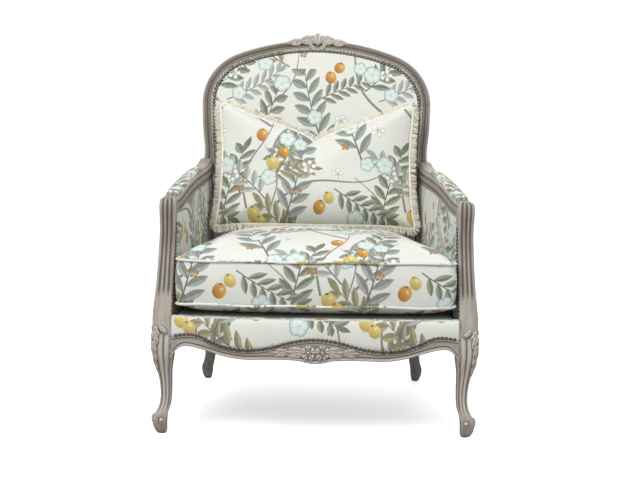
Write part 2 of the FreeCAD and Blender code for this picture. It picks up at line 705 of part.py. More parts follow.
# Side rails: straight in plan, drawn in towards the back, with a gently arched lower edge
side_blank = new_body("side_rail_blank")
side_low = size("side_rail_low")
side_thick = size("side_rail_thick")
side_plan = new_sketch(side_blank, "XY_Plane", "side_plan", (0, 0, side_low - 8))
side_front = size("side_rail_front")
side_back = size("side_rail_back")
draw_outline(side_plan, (side_front - side_thick, -335), [
    (side_front, -335),
    (side_back, 235),
    (side_back - side_thick, 235),
    (side_front - side_thick, -335),
])
side_blank.Tip = pad(side_blank, side_plan, "side_board", rail_top - side_low + 8)
side_arch = new_sketch(side_blank, "YZ_Plane", "side_arch")
draw_outline(side_arch, (-345, side_low + 9), [
    (-240, side_low, 5),
    (120, side_low, 5),
    (245, side_low + 7, 4),
    (245, side_low - 30),
    (-345, side_low - 30),
    (-345, side_low + 9),
])
side_blank.Tip = pocket(side_blank, side_arch, "side_cut")
side_rail_right = fitted("side_rail_right", side_blank, [front_leg_right, arm_post_right, back_post_right])
side_rail_left = mirrored("side_rail_left", side_rail_right)

# Back seat rail, and the rail above it that carries the bottom of the inside back
back_blank = new_body("back_seat_rail_blank")
back_plan = new_sketch(back_blank, "XY_Plane", "back_plan", (0, 0, side_low))
back_rail_y = size("hind_seat_y") - 12
draw_outline(back_plan, (-300, back_rail_y), [
    (300, back_rail_y),
    (300, back_rail_y + side_thick),
    (-300, back_rail_y + side_thick),
    (-300, back_rail_y),
])
back_blank.Tip = pad(back_blank, back_plan, "back_board", rail_top - side_low)
posts = [back_post_right, back_post_left]
back_seat_rail = fitted("back_seat_rail", back_blank, posts)

lower_blank = on_back(new_body("back_bottom_rail_blank"))
lower_face = new_sketch(lower_blank, "XY_Plane", "lower_face", (0, 0, -size("back_pad")))
low_y = size("back_bottom_at")
draw_outline(lower_face, (-296, low_y), [(296, low_y), (296, low_y + 34), (-296, low_y + 34), (-296, low_y)])
lower_blank.Tip = pad(lower_blank, lower_face, "lower_board", size("back_pad") - 4)
back_bottom_rail = fitted("back_bottom_rail", lower_blank, posts)

# Corner blocks: glued into the four inner corners of the seat frame
def corner_block(node, outline, neighbours):
    blank = new_body(node + "_blank")
    plan = new_sketch(blank, "XY_Plane", node + "_plan", (0, 0, side_low + 9))
    draw_outline(plan, outline[0], outline[1:] + [outline[0]])
    blank.Tip = pad(blank, plan, node + "_board", rail_top - side_low - 13)
    return fitted(node, blank, neighbours)


front_corner = [(276, -358), (350, -358), (346, -262), (334, -262)]
front_neighbours = [front_rail, side_rail_right, front_leg_right, arm_post_right]
corner_front = corner_block("corner_block_front_right", front_corner, front_neighbours)
mirrored("corner_block_front_left", corner_front)
back_corner = [(236, 223), (236, 212), (284, 152), (308, 152), (308, 223)]
back_neighbours = [back_seat_rail, side_rail_right, back_post_right]
corner_back = corner_block("corner_block_back_right", back_corner, back_neighbours)
mirrored("corner_block_back_left", corner_back)

# Webbing of the seat: front-to-back straps on the rails, with cross straps laid over them
web = size("web_width")
web_thick = size("web_thick")
straps = []


def strap(name, x, y, z, width, length, height=web_thick):
    piece = doc.addObject("Part::Box", name)
    piece.setExpression("Length", as_size(width).text)
    piece.setExpression("Width", as_size(length).text)
    piece.setExpression("Height", as_size(height).text)
    return place(piece, x, y, z)


for count, x in enumerate((-222, -136, -50, 36, 122, 208)):
    straps.append(strap("web_long_" + str(count + 1), x - 11, -356, rail_top, web, 584))
for count, (y, half) in enumerate(((-270, 358), (-170, 346), (-70, 335), (30, 324), (130, 313))):
    straps.append(strap("web_cross_" + str(count + 1), -half, y, rail_top + web_thick, half * 2, web))
seat_webbing = doc.addObject("Part::MultiFuse", "seat_webbing")
seat_webbing.Shapes = straps
keep("seat_webbing", seat_webbing)

# Seat platform: a stuffed deck under a plain cover, and a border of the chair's cloth that comes
# down over its front edge to the wood line. The sides follow the inside arms.
deck_top = size("deck_top")
cloth = size("cloth")
arm_in_front = size("arm_inside_front")
arm_in_back = size("arm_inside_back")


def platform(node, low, high, front):
    body = keep(node, new_body(node))
    plan = new_sketch(body, "XY_Plane", node + "_plan", (0, 0, low))
    side = arm_in_front - 8
    draw_outline(plan, (-side, rail_end_y + front + 1), [
        (side, rail_end_y + front + 1, bow - 3),
        (side, -340),
        (arm_in_front - 1, -282),
        (arm_in_back - 1, 196),
        (1 - arm_in_back, 196),
        (1 - arm_in_front, -282),
        (-side, -340),
        (-side, rail_end_y + front + 1),
    ])
    body.Tip = pad(body, plan, node + "_layer", high - low)
    return body


web_top = rail_top + web_thick * 2
platform("deck_pad", web_top, deck_top - cloth, 8)
platform("deck_cover", deck_top - cloth, deck_top, 8)
border_blank = new_body("front_border_blank")
bowed_band(border_blank, "border", 0, rebate, 200, deck_top)
saw_along(border_blank, "border_edge", size("wood_line_middle"), wood_line, 150)
front_border = fitted("front_border", border_blank, both_legs)

# Upholstery nails along the wood line, as the strip that the row makes
strip_blank = new_body("front_nail_blank")
bowed_band(strip_blank, "front_nails", -size("nail_rise"), 0, 196, 262)
saw_along(strip_blank, "nails_low", size("wood_line_middle"), wood_line, 150, -2)
saw_along(strip_blank, "nails_high", size("wood_line_middle"), wood_line, 300, 7)
fitted("front_nail_strip", strip_blank, both_legs)

# Dust cover: thin black cloth tacked under the seat rails
dust = new_body("dust_cover_blank")
dust_plan = new_sketch(dust, "XY_Plane", "dust_plan", (0, 0, side_low + 8))
inner = side_front - side_thick
draw_outline(dust_plan, (-inner + 30, -338), [
    (inner - 30, -338, bow - 6),
    (inner - 30, -308),
    (inner - 5, -308),
    (side_back - side_thick, 206),
    (side_back - side_thick - 12, 222),
    (side_thick + 12 - side_back, 222),
    (side_thick - side_back, 206),
    (5 - inner, -308),
    (30 - inner, -308),
    (30 - inner, -338),
])
dust.Tip = pad(dust, dust_plan, "dust_cloth", 1)
fitted("dust_cover", dust, posts + both_legs)

# Inside arms and outside arms: closed panels between the post, the arm, the stile and the rail
def arm_panel(node, across, back_across, thick, low):
    blank = new_body(node + "_blank")
    swing_in = (across - back_across) / 540
    angle = Size(math.degrees(math.atan(swing_in.amount)), "atan(" + swing_in.text + ")")
    place(blank, across, -300, 0, (0, 0, 1), angle)
    side = new_sketch(blank, "YZ_Plane", node + "_side")
    draw_outline(side, (-42, low), [
        (536, low),
        (538, 380),
        (552, 465),
        (575, 560),
        (583, size("arm_back_z") - 8),
        (440, size("arm_back_z") - 17),
        (345, size("arm_back_z") - 25),
        (250, size("arm_back_z") - 37),
        (160, size("arm_back_z") - 51),
        (85, size("arm_front_z") + 6),
        (50, size("arm_front_z") - 2),
        (-4, size("arm_front_z") - 8),
        (-10, 440),
        (-24, 340),
        (-42, low),
    ])
    blank.Tip = pad(blank, side, node + "_panel", thick)
    return fitted(node, blank, [armrest_right, arm_post_right, back_post_right])


inside_arm = arm_panel("inside_arm_right", arm_in_front + 7.5, arm_in_back, size("arm_stuffing"), web_top)
mirrored("inside_arm_left", inside_arm)
outside_arm = arm_panel("outside_arm_right", size("arm_outside_front"), size("arm_outside_back"), 3, rail_top)
mirrored("outside_arm_left", outside_arm)

# Arm pads: small domed rests let into the top of the arms
pad_w = size("arm_pad_width")
pad_h = size("arm_pad_height")
pad_stations = [
    (between(*arm_x, 0.06), between(*arm_z, 0.11) + 17, 262, pad_w - 9, pad_h - 12, 5),
    (between(*arm_x, 0.09), between(*arm_z, 0.15) + 18, 245, pad_w - 1, pad_h - 3, 9),
    (between(*arm_x, 0.17), between(*arm_z, 0.25) + 19, 195, pad_w + 1, pad_h, 10),
    (between(*arm_x, 0.26), between(*arm_z, 0.4) + 19, 140, pad_w + 1, pad_h, 10),
    (between(*arm_x, 0.43), between(*arm_z, 0.6) + 19, 50, pad_w, pad_h, 10),
    (between(*arm_x, 0.6), between(*arm_z, 0.76) + 19, -45, pad_w - 1, pad_h, 10),
    (between(*arm_x, 0.74), between(*arm_z, 0.86) + 19, -122, pad_w - 3, pad_h - 2, 9),
    (between(*arm_x, 0.77), between(*arm_z, 0.88) + 17, -140, pad_w - 10, pad_h - 11, 5),
]
pad_blank = new_body("arm_pad_blank")
loft(pad_blank, "manchette", pad_stations, "XZ_Plane")
arm_pad_right = fitted("arm_pad_right", pad_blank, [armrest_right])
arm_pad_left = mirrored("arm_pad_left", arm_pad_right)


# Inside back: webbing, a crowned pad and its cover, in an outline that follows the frame's inner
# edge: straight sides, shoulders and the arch
def back_outline(body, name, low, up, share=1.0):
    """The outline of the inside back at a height above the back's plane, drawn in by share."""
    face = size("frame_face")
    middle = 190
    x = shoulder_x + (shoulder_r - face) * lean_of("sin")
    y = shoulder_y + (shoulder_r - face) * lean_of("cos")
    wide = shoulder_x + shoulder_r - face
    waist = size("back_waist_half") - face
    drop = 1 - math.cos(spin)
    shoulder_swell = (shoulder_r - face) * (1 - math.cos((math.pi / 2 - spin) / 2))
    arch_swell = (arch_r - face) * drop
    spots = [
        (waist - 8, low, 0),
        (waist - 8, 60, 0),
        (waist, size("back_waist_at"), 0),
        (wide, shoulder_y, -3),
        (x, y, shoulder_swell),
        (-x, y, arch_swell),
        (-wide, shoulder_y, shoulder_swell),
        (-waist, size("back_waist_at"), -3),
        (8 - waist, 60, 0),
        (8 - waist, low, 0),
    ]
    sketch = new_sketch(body, "XY_Plane", name, (0, 0, up))
    drawn = []
    for across, along, swell in spots:
        point = (across * share, (along - middle) * share + middle)
        drawn.append(point + ((swell * share,) if as_size(swell).amount else ()))
    start = drawn[0][:2]
    draw_outline(sketch, start, drawn[1:] + [start])
    return sketch


def lean_of(kind):
    """Sine or cosine of the slope at which the arch meets the shoulder."""
    amount = math.sin(spin) if kind == "sin" else math.cos(spin)
    return Size(amount, kind + "(" + turn.text + " * 1 deg)")


frame_ring = [crest_rail, back_post_right, back_post_left]
deep = size("back_pad")
low_edge = size("back_bottom_at")
back_pad_blank = on_back(new_body("back_pad_blank"))
crowned = [
    back_outline(back_pad_blank, "pad_back", low_edge + 34, -deep),
    back_outline(back_pad_blank, "pad_edge", low_edge + 34, -4),
    back_outline(back_pad_blank, "pad_crown", low_edge + 34, 8, 0.88),
]
loft_through(back_pad_blank, "pad_form", crowned)
inside_back_pad = fitted("inside_back_pad", back_pad_blank, frame_ring)
back_cover_blank = on_back(new_body("back_cover_blank"))
covered = [
    back_outline(back_cover_blank, "cover_back", low_edge, -4),
    back_outline(back_cover_blank, "cover_edge", low_edge, cloth - 4),
    back_outline(back_cover_blank, "cover_crown", low_edge, cloth + 8, 0.88),
]
loft_through(back_cover_blank, "cover_form", covered)
ring_and_pad = frame_ring + [inside_back_pad, back_bottom_rail]
inside_back_cover = fitted("inside_back_cover", back_cover_blank, ring_and_pad)

outside_back_blank = on_back(new_body("outside_back_blank"))
outside_sketch = back_outline(outside_back_blank, "outside_outline", low_edge - 24, -size("frame_depth"))
outside_back_blank.Tip = pad(outside_back_blank, outside_sketch, "outside_panel", 4)
fitted("outside_back_cover", outside_back_blank, frame_ring + [back_seat_rail])

web_blank = on_back(new_body("back_webbing_blank"))
web_sketch = new_sketch(web_blank, "XY_Plane", "back_straps", (0, 0, -deep - web_thick))
right_side = []
for strap_y in (-80, 8, 96, 184, 272, 360):
    right_side += [(25, strap_y), (302, strap_y), (302, strap_y + web), (25, strap_y + web)]
left_side = [(-x, y) for x, y in reversed(right_side)]
ladder = right_side + [(25, crown - 32), (-25, crown - 32)] + left_side + [(-25, low_edge + 20)]
draw_outline(web_sketch, (25, low_edge + 20), ladder + [(25, low_edge + 20)])
web_blank.Tip = pad(web_blank, web_sketch, "straps", web_thick)
fitted("back_webbing", web_blank, frame_ring + [back_bottom_rail])

# Nails around the inside back and the outside back, as strips that follow the frame's edge
nail_band = size("nail_band")
nail_rise = size("nail_rise")


def nail_ring(node, up, name):
    """A flat strip just inside the frame, on the face of the cover."""
    outer = on_back(new_body(node + "_outer"))
    outer.Tip = pad(outer, back_outline(outer, name + "_out", 100, up), name + "_blank", nail_rise)
    narrow = back_outline(outer, name + "_in", 96, up, 0.966)
    cut = pocket(outer, narrow, name + "_inside")
    outer.Tip = cut
    return outer


inner_ring = nail_ring("inside_back_nail_blank", -2, "inside_nails")
fitted("inside_back_nail_strip", inner_ring, ring_and_pad + [inside_back_cover])

# Loose seat cushion: a foam block in a boxed cover, with a crowned top, drawn-in sides, a soft
# belly and a cord sewn into both edges. The cover includes the wadding over the block.
front_half = size("cushion_front_half")
back_half = size("cushion_back_half")
front_edge = -size("cushion_front_y")
back_edge = size("cushion_back_y")


def cushion_outline(body, name, up, inset=0, bow_share=1.0):
    """The cushion's outline in plan at a height, drawn in by inset, with eased corners."""
    half_f = front_half - inset
    half_b = back_half - inset
    y_front = front_edge + inset
    y_back = back_edge - inset
    swell = size("cushion_bow") * bow_share
    right = [
        (half_f * 0.45, y_front - swell * 0.8),
        (half_f - 18, y_front),
        (half_f, y_front + 20),
        (half_b, y_back - 22),
        (half_b - 22, y_back),
    ]
    left = [(-x, y) for x, y in reversed(right)]
    sketch = new_sketch(body, "XY_Plane", name, (0, 0, up))
    draw_outline(sketch, right[0], right[1:] + left + [right[0]])
    return sketch


low_seam = size("cushion_low_seam")
top_seam = size("cushion_top_seam")
rise = size("cushion_crown")
belly = deck_top + size("lift_gap")
block = keep("cushion_core", new_body("cushion_core"))
block.Tip = pad(block, cushion_outline(block, "block_plan", low_seam + 4, 14), "block", top_seam - low_seam + 12)
cover_blank = new_body("cushion_cover_blank")
loft_through(cover_blank, "belly", [
    cushion_outline(cover_blank, "belly_bottom", belly, 92, 0.5),
    cushion_outline(cover_blank, "belly_middle", belly + 9, 42, 0.8),
    cushion_outline(cover_blank, "low_seam", low_seam),
])
loft_through(cover_blank, "boxing", [
    cushion_outline(cover_blank, "low_seam_again", low_seam),
    cushion_outline(cover_blank, "boxing_middle", (low_seam + top_seam) / 2, -3),
    cushion_outline(cover_blank, "top_seam", top_seam),
])
loft_through(cover_blank, "crown", [
    cushion_outline(cover_blank, "top_seam_again", top_seam),
    cushion_outline(cover_blank, "crown_low", top_seam + rise * 0.45, 21),
    cushion_outline(cover_blank, "crown_high", top_seam + rise * 0.84, 84, 0.7),
    cushion_outline(cover_blank, "crown_top", top_seam + rise, 165, 0.3),
])


def cord(body, name, up):
    """A sewn cord as a square-set band around the seam."""
    outer = cushion_outline(body, name + "_out", up - size("welt_radius"), -size("welt_radius") - 1)
    ring = pad(body, outer, name + "_ring", size("welt_radius") * 2)
    inner = cushion_outline(body, name + "_in", up - size("welt_radius"), 4)
    body.Tip = pocket(body, inner, name + "_hole")
    return ring


welt_bodies = []
for node, up in (("cushion_welt_bottom", low_seam), ("cushion_welt_top", top_seam)):
    welt = keep(node, new_body(node))
    cord(welt, node, up)
    welt_bodies.append(welt)
fitted("cushion_cover", cover_blank, [block] + welt_bodies)

# Loose pillow: a filled insert in a sewn cover, its top edge chopped in at the middle, with a
# brush fringe in the seam. It leans on the back and stands on the cushion.
half_p = size("pillow_half")
tall = size("pillow_height")
chop = size("pillow_chop")


def leaning(body):
    """Lays a body in the plane of the pillow's seam, X across, Y up the lean and Z forward."""
    return place(body, 0, size("pillow_y"), size("pillow_z"), (1, 0, 0), 90 - size("pillow_lean"))


def pillow_outline(body, name, up, share, grow=0):
    """The pillow's edge, drawn in by share: pointed corners, hollow sides and the chop."""
    x = half_p * share + grow
    top = tall / 2 * share + grow
    sink = chop * share
    right = [
        (x * 0.55, -top + 8 * share),
        (x * 1.03, -top),
        (x * 0.92, top * 0.05),
        (x * 0.965, top),
        (x * 0.55, top - sink * 0.47),
        (x * 0.13, top - sink * 0.98),
    ]
    left = [(-across, along) for across, along in reversed(right)]
    sketch = new_sketch(body, "XY_Plane", name, (0, 0, up))
    draw_outline(sketch, right[0], right[1:] + left + [right[0]])
    return sketch


def pillow_form(body, name, thick, levels, grow=0):
    sections = []
    for index, (share_up, share) in enumerate(levels):
        outline = pillow_outline(body, name + "_" + str(index + 1), thick * share_up, share, grow)
        sections.append(outline)
    return loft_through(body, name, sections)


insert = leaning(keep("pillow_insert", new_body("pillow_insert")))
insert_thick = size("pillow_thick") * 0.56
filling = pillow_outline(insert, "filling_outline", insert_thick / -2, 0.74)
insert.Tip = pad(insert, filling, "filling", insert_thick)
pillow_blank = leaning(new_body("pillow_cover_blank"))
half_form = [(0.36, 0.82), (0.5, 0.46)]
full_form = [(-share_up, share) for share_up, share in reversed(half_form)] + [(0, 1.0)] + half_form
pillow_form(pillow_blank, "pillow_cloth", size("pillow_thick"), full_form)
fringe_blank = leaning(new_body("pillow_fringe_blank"))
fringe_deep = size("fringe_thick")
fringe_sketch = pillow_outline(fringe_blank, "fringe_edge", -fringe_deep / 2, 1.0, size("fringe_width"))
fringe_blank.Tip = pad(fringe_blank, fringe_sketch, "fringe_band", fringe_deep)
pillow_cover = fitted("pillow_cover", pillow_blank, [insert])
fitted("pillow_fringe", fringe_blank, [pillow_blank])

# Checks and export
doc.recompute()
trouble = []
for item in doc.Objects:
    if "Invalid" in item.State or "Error" in item.State:
        trouble.append(item.Name + " " + str(item.State))
for node, item in parts.items():
    shape = item.Shape
    if shape.isNull() or not shape.isValid() or not shape.Solids:
        trouble.append(node + " has no valid solid")
if trouble:
    raise RuntimeError("; ".join(trouble))
os.makedirs("parts", exist_ok=True)
for node, item in parts.items():
    item.Shape.exportStep("parts/" + node + ".step")
    print(node, len(item.Shape.Solids), round(item.Shape.Volume / 1000, 1))
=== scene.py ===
import math
import random
import bpy
import numpy as np
from mathutils import Matrix, Vector


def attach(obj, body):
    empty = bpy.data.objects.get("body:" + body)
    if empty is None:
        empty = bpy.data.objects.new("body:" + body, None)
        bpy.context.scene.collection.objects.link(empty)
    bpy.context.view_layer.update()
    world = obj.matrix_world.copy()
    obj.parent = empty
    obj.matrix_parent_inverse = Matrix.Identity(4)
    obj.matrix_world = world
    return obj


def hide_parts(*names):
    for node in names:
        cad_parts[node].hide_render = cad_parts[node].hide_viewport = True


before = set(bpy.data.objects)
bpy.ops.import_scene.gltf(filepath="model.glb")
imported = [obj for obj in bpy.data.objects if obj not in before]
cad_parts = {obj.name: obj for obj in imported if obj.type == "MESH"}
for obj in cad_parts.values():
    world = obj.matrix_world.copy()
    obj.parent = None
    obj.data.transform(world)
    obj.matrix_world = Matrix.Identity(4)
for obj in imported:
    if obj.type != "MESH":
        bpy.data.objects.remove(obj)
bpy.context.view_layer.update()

# The photographer's place: straight in front of the chair and a little above its seat, more than three
# metres away, with a long lens.
camera_data = bpy.data.cameras.new("camera")
camera_data.sensor_width = 36
camera_data.lens = 71.81
camera = bpy.data.objects.new("camera", camera_data)
bpy.context.scene.collection.objects.link(camera)
right = Vector((0.99975653, -0.0128464, 0.01794045))
up = Vector((-0.01684466, 0.08084851, 0.99658405))
back = Vector((-0.01425298, -0.99664361, 0.08061244))
turn = Matrix((right, up, back)).transposed().to_4x4()
camera.matrix_world = Matrix.Translation((-0.0363, -3.3873, 0.7177)) @ turn
bpy.context.scene.camera = camera

# The studio: a white sweep under broad soft lamps, with level light from all round. The camera sees
# sky and sweep brighter than they light the chair, so that its underside stays in shade.
def math_node(tree, kind, *values, clamp=False):
    """One step of shader arithmetic on numbers and sockets."""
    node = tree.nodes.new("ShaderNodeMath")
    node.operation = kind
    node.use_clamp = clamp
    for socket, value in zip(node.inputs, values):
        if isinstance(value, (int, float)):
            socket.default_value = value
        else:
            tree.links.new(value, socket)
    return node.outputs[0]


def for_camera(tree, extra, base):
    """A strength with something extra where the camera sees it directly."""
    seen = tree.nodes.new("ShaderNodeLightPath").outputs["Is Camera Ray"]
    return math_node(tree, "MULTIPLY_ADD", seen, extra, base)


def mesh_piece(name, verts, faces, material=None, smooth=(4,)):
    """A new object in the scene. Faces are shaded smooth where their corners number as in smooth."""
    mesh = bpy.data.meshes.new(name)
    mesh.from_pydata(verts, [], faces)
    mesh.polygons.foreach_set("use_smooth", [len(face) in smooth for face in faces])
    piece = bpy.data.objects.new(name, mesh)
    bpy.context.scene.collection.objects.link(piece)
    if material:
        mesh.materials.append(material)
    return piece


bpy.context.scene.view_settings.view_transform = "Standard"
world = bpy.data.worlds.new("studio")
bpy.context.scene.world = world
world.use_nodes = True
sky = world.node_tree.nodes["Background"]
sky.inputs["Color"].default_value = (1.0, 1.0, 1.0, 1)
world.node_tree.links.new(for_camera(world.node_tree, 0.48, 0.57), sky.inputs["Strength"])
for name, spot, aim, size, power in (
    ("key", (-1.5, -2.6, 3.0), (0, 0, 0.8), 1.9, 84),
    ("fill", (1.3, -2.8, 2.5), (0, 0, 0.8), 2.2, 25),
    ("top", (0.0, -1.3, 3.2), (0, 0.2, 0.8), 2.0, 17),
    ("rear", (0.4, 3.0, 2.4), (0, 0, 0.6), 2.2, 24),
):
    lamp_data = bpy.data.lights.new(name, "AREA")
    lamp_data.shape = "SQUARE"
    lamp_data.size = size
    lamp_data.energy = power
    lamp = bpy.data.objects.new(name, lamp_data)
    bpy.context.scene.collection.objects.link(lamp)
    lamp.location = spot
    lamp.rotation_euler = (Vector(aim) - Vector(spot)).to_track_quat("-Z", "Y").to_euler()
floor_paper = bpy.data.materials.new("floor_paper")
floor_paper.use_nodes = True
tree = floor_paper.node_tree
paper = tree.nodes["Principled BSDF"]
paper.inputs["Roughness"].default_value = 0.95
paper.inputs["Emission Color"].default_value = (1, 1, 1, 1)
tree.links.new(for_camera(tree, 0.58, 0.35), paper.inputs["Base Color"])
tree.links.new(for_camera(tree, 0.55, 0.0), paper.inputs["Emission Strength"])
floor = mesh_piece("floor", [(-9, -7, 0), (9, -7, 0), (9, 9, 0), (-9, 9, 0)], [(0, 1, 2, 3)], floor_paper)


# Front legs: cabriole legs of grey-washed hardwood, each from a square knee through a thin ankle to
# a scrolled foot. Fine lines are cut along their front faces, with painted shade in their depths and a
# painted highlight on their edges, varied by the same noise as the worn patches of the wash.
def steps_in(tree):
    """Short names for the commonest steps of arithmetic in one tree."""
    def step(kind):
        return lambda *values, clamp=False: math_node(tree, kind, *values, clamp=clamp)
    return step("ADD"), step("SUBTRACT"), step("MULTIPLY"), step("MULTIPLY_ADD")


def vector_node(tree, kind, *values):
    """One step of vector arithmetic on triples and sockets."""
    node = tree.nodes.new("ShaderNodeVectorMath")
    node.operation = kind
    for socket, value in zip(node.inputs, values):
        if isinstance(value, tuple):
            socket.default_value = value
        else:
            tree.links.new(value, socket)
    return node.outputs[0]


def mix_node(tree, share, first, second):
    node = tree.nodes.new("ShaderNodeMix")
    node.data_type = "RGBA"
    for socket, value in zip((node.inputs[0], node.inputs[6], node.inputs[7]), (share, first, second)):
        if isinstance(value, (int, float)):
            socket.default_value = value
        elif isinstance(value, tuple):
            socket.default_value = value + (1,)
        else:
            tree.links.new(value, socket)
    return node.outputs[2]


def noise_node(tree, place, scale, detail=3.0, stretch=None):
    if stretch:
        place = vector_node(tree, "MULTIPLY", place, stretch)
    node = tree.nodes.new("ShaderNodeTexNoise")
    node.inputs["Scale"].default_value = scale
    node.inputs["Detail"].default_value = detail
    tree.links.new(place, node.inputs["Vector"])
    return node.outputs["Fac"]


def group_of(name, takes, gives):
    tree = bpy.data.node_groups.new(name, "ShaderNodeTree")
    kinds = {"v": "NodeSocketVector", "c": "NodeSocketColor", "f": "NodeSocketFloat"}
    for way, sockets in (("INPUT", takes), ("OUTPUT", gives)):
        for title, kind in sockets:
            tree.interface.new_socket(title, in_out=way, socket_type=kinds[kind])
    return tree, tree.nodes.new("NodeGroupInput").outputs, tree.nodes.new("NodeGroupOutput").inputs


wash, take, give = group_of(
    "wood_wash", [("Place", "v"), ("Painted_Cut_Shade", "f")], [("Color", "c"), ("Rough", "f"), ("Height", "f")]
)
plus, less, times, times_plus = steps_in(wash)
grain = noise_node(wash, take["Place"], 1.0, 4.0, (260, 260, 14))
streak = noise_node(wash, take["Place"], 1.0, 2.0, (70, 70, 5))
patch = noise_node(wash, take["Place"], 9.0, 3.0)
tone = times_plus(grain, 0.55, times(streak, 0.45))
tone = times_plus(less(tone, 0.5), 2.1, 0.5, clamp=True)
body_color = mix_node(wash, tone, (0.180, 0.155, 0.130), (0.47, 0.423, 0.376))
worn = times_plus(less(patch, 0.5), 2.6, 0.3, clamp=True)
body_color = mix_node(wash, times(worn, 0.35), body_color, (0.345, 0.312, 0.275))
# Painted shade: where the stored cut shading is above nought, in grooves and hollows, the wash is darkened
# towards a deep brown.
painted_shade_share = times_plus(take["Painted_Cut_Shade"], 0.95, times(streak, -0.15), clamp=True)
body_color = mix_node(wash, painted_shade_share, body_color, (0.060, 0.048, 0.038))
# Painted highlight: where it is below nought, on beads and rounded edges, the wash is lightened, more where
# the patch noise is high.
painted_highlight_share = times(times(take["Painted_Cut_Shade"], -1.0, clamp=True), plus(patch, 0.2), clamp=True)
body_color = mix_node(wash, painted_highlight_share, body_color, (0.70, 0.66, 0.60))
wash.links.new(body_color, give["Color"])
wash.links.new(times_plus(painted_shade_share, 0.3, times_plus(patch, 0.2, 0.40)), give["Rough"])
wash.links.new(times_plus(grain, 0.7, times(streak, 0.3)), give["Height"])


def stored(tree, name, output):
    """What the mesh's points keep under a name."""
    node = tree.nodes.new("ShaderNodeAttribute")
    node.attribute_name = name
    return node.outputs[output]


def place_of(tree, source):
    """Coordinates in metres: a stored attribute, a UV map or the object's own."""
    if source == "object":
        return tree.nodes.new("ShaderNodeTexCoord").outputs["Object"]
    if source == "print":
        node = tree.nodes.new("ShaderNodeUVMap")
        node.uv_map = "print"
        return node.outputs[0]
    return stored(tree, source, "Vector")


def use_group(tree, group, **inputs):
    """A group at work in a tree. Its inputs are numbers, triples and sockets."""
    node = tree.nodes.new("ShaderNodeGroup")
    node.node_tree = group
    for title, value in inputs.items():
        socket = node.inputs[title]
        if isinstance(value, tuple):
            socket.default_value = value + (1,) * (len(socket.default_value) - 3)
        elif isinstance(value, (int, float)):
            socket.default_value = value
        else:
            tree.links.new(value, socket)
    return node


def new_material(name, rough=0.6, sheen=0.0, specular=0.5, metallic=0.0):
    material = bpy.data.materials.new(name)
    material.use_nodes = True
    shader = material.node_tree.nodes["Principled BSDF"]
    shader.inputs["Roughness"].default_value = rough
    shader.inputs["Sheen Weight"].default_value = sheen
    shader.inputs["Specular IOR Level"].default_value = specular
    shader.inputs["Metallic"].default_value = metallic
    return material, material.node_tree, shader


def add_bump(tree, shader, height, strength, distance):
    node = tree.nodes.new("ShaderNodeBump")
    node.inputs["Strength"].default_value = strength
    node.inputs["Distance"].default_value = distance
    tree.links.new(height, node.inputs["Height"])
    tree.links.new(node.outputs[0], shader.inputs["Normal"])


def wood_material(name, source):
    """The washed wood. Shown pieces keep their grain and the painted shade of their cuts with their points.
    """
    material, tree, shader = new_material(name, specular=0.35)
    shading_input = {"Painted_Cut_Shade": stored(tree, "painted_cut_shade", "Fac")} if source == "grain" else {}
    node = use_group(tree, wash, Place=place_of(tree, source), **shading_input)
    tree.links.new(node.outputs["Color"], shader.inputs["Base Color"])
    tree.links.new(node.outputs["Rough"], shader.inputs["Roughness"])
    add_bump(tree, shader, node.outputs["Height"], 0.25, 0.0006)
    return material


show_wood = wood_material("grey_washed_wood", "grain")


def through(rows, spots):
    """Rows of numbers, interpolated smoothly at the given spots of their first number."""
    rows = np.array(rows, float)
    key = rows[:, 0]
    spots = np.array(spots, float)
    slope = np.gradient(rows, key, axis=0)
    at = np.clip(np.searchsorted(key, spots, side="right") - 1, 0, len(key) - 2)
    gap = (key[at + 1] - key[at])[:, None]
    t = (spots - key[at])[:, None] / gap
    ends = (2 * t**3 - 3 * t**2 + 1) * rows[at] + (3 * t**2 - 2 * t**3) * rows[at + 1]
    return ends + (t**3 - 2 * t**2 + t) * slope[at] * gap + (t**3 - t**2) * slope[at + 1] * gap


def sections(width, depth, cuts, fade=1.0, square=5.0, count=26):
    """Moulded sections about their centres. A cut is (side, place, half width, depth), with the
    sides 0 front, 1 right, 2 back and 3 left, and a negative depth for a raised bead."""
    width = np.atleast_1d(width)[:, None]
    depth = np.atleast_1d(depth)[:, None]
    fade = np.broadcast_to(np.atleast_1d(fade)[:, None], width.shape)
    s = np.linspace(-1, 1, count, endpoint=False)
    parts, shades = [], []
    for side in range(4):
        reach = (np.abs(s) ** square + 1) ** (-1 / square)
        along, off = s * reach, -reach
        dip = np.zeros((len(width), count))
        shade = np.zeros((len(width), count))
        for where, place, half, deep in cuts:
            if where != side:
                continue
            hump = np.clip(1 - ((s - place) / half) ** 2, 0, 1)[None, :] * fade
            dip += hump * deep
            # Painted shade fills each cut; a raised bead gets a painted highlight.
            shade += hump * (1.0 if deep > 0 else -0.8)
        # Painted highlight on the rounded corners, where no cut darkens them.
        edge = np.clip((np.abs(s) - 0.8) * 5, 0, 1) ** 2
        shade -= 0.5 * edge[None, :] * (shade < 0.1)
        half_run = width / 2 if side % 2 == 0 else depth / 2
        half_off = depth / 2 if side % 2 == 0 else width / 2
        x, y = along[None, :] * half_run, off[None, :] * half_off + dip
        for _ in range(side):
            x, y = -y, x
        parts.append(np.stack([x, y], axis=2))
        shades.append(shade)
    return np.concatenate(parts, axis=1), np.concatenate(shades, axis=1)


def store_wood(mesh, painted_cut_shade, grain_at):
    """Keeps with each point its painted shade and highlight from the cuts, and where it lies in the grain.
    """
    for name, kind, key, values in (
        ("painted_cut_shade", "FLOAT", "value", painted_cut_shade), ("grain", "FLOAT_VECTOR", "vector", grain_at),
    ):
        layer = mesh.attributes.new(name, kind, "POINT")
        layer.data.foreach_set(key, np.asarray(values, np.float32).ravel())


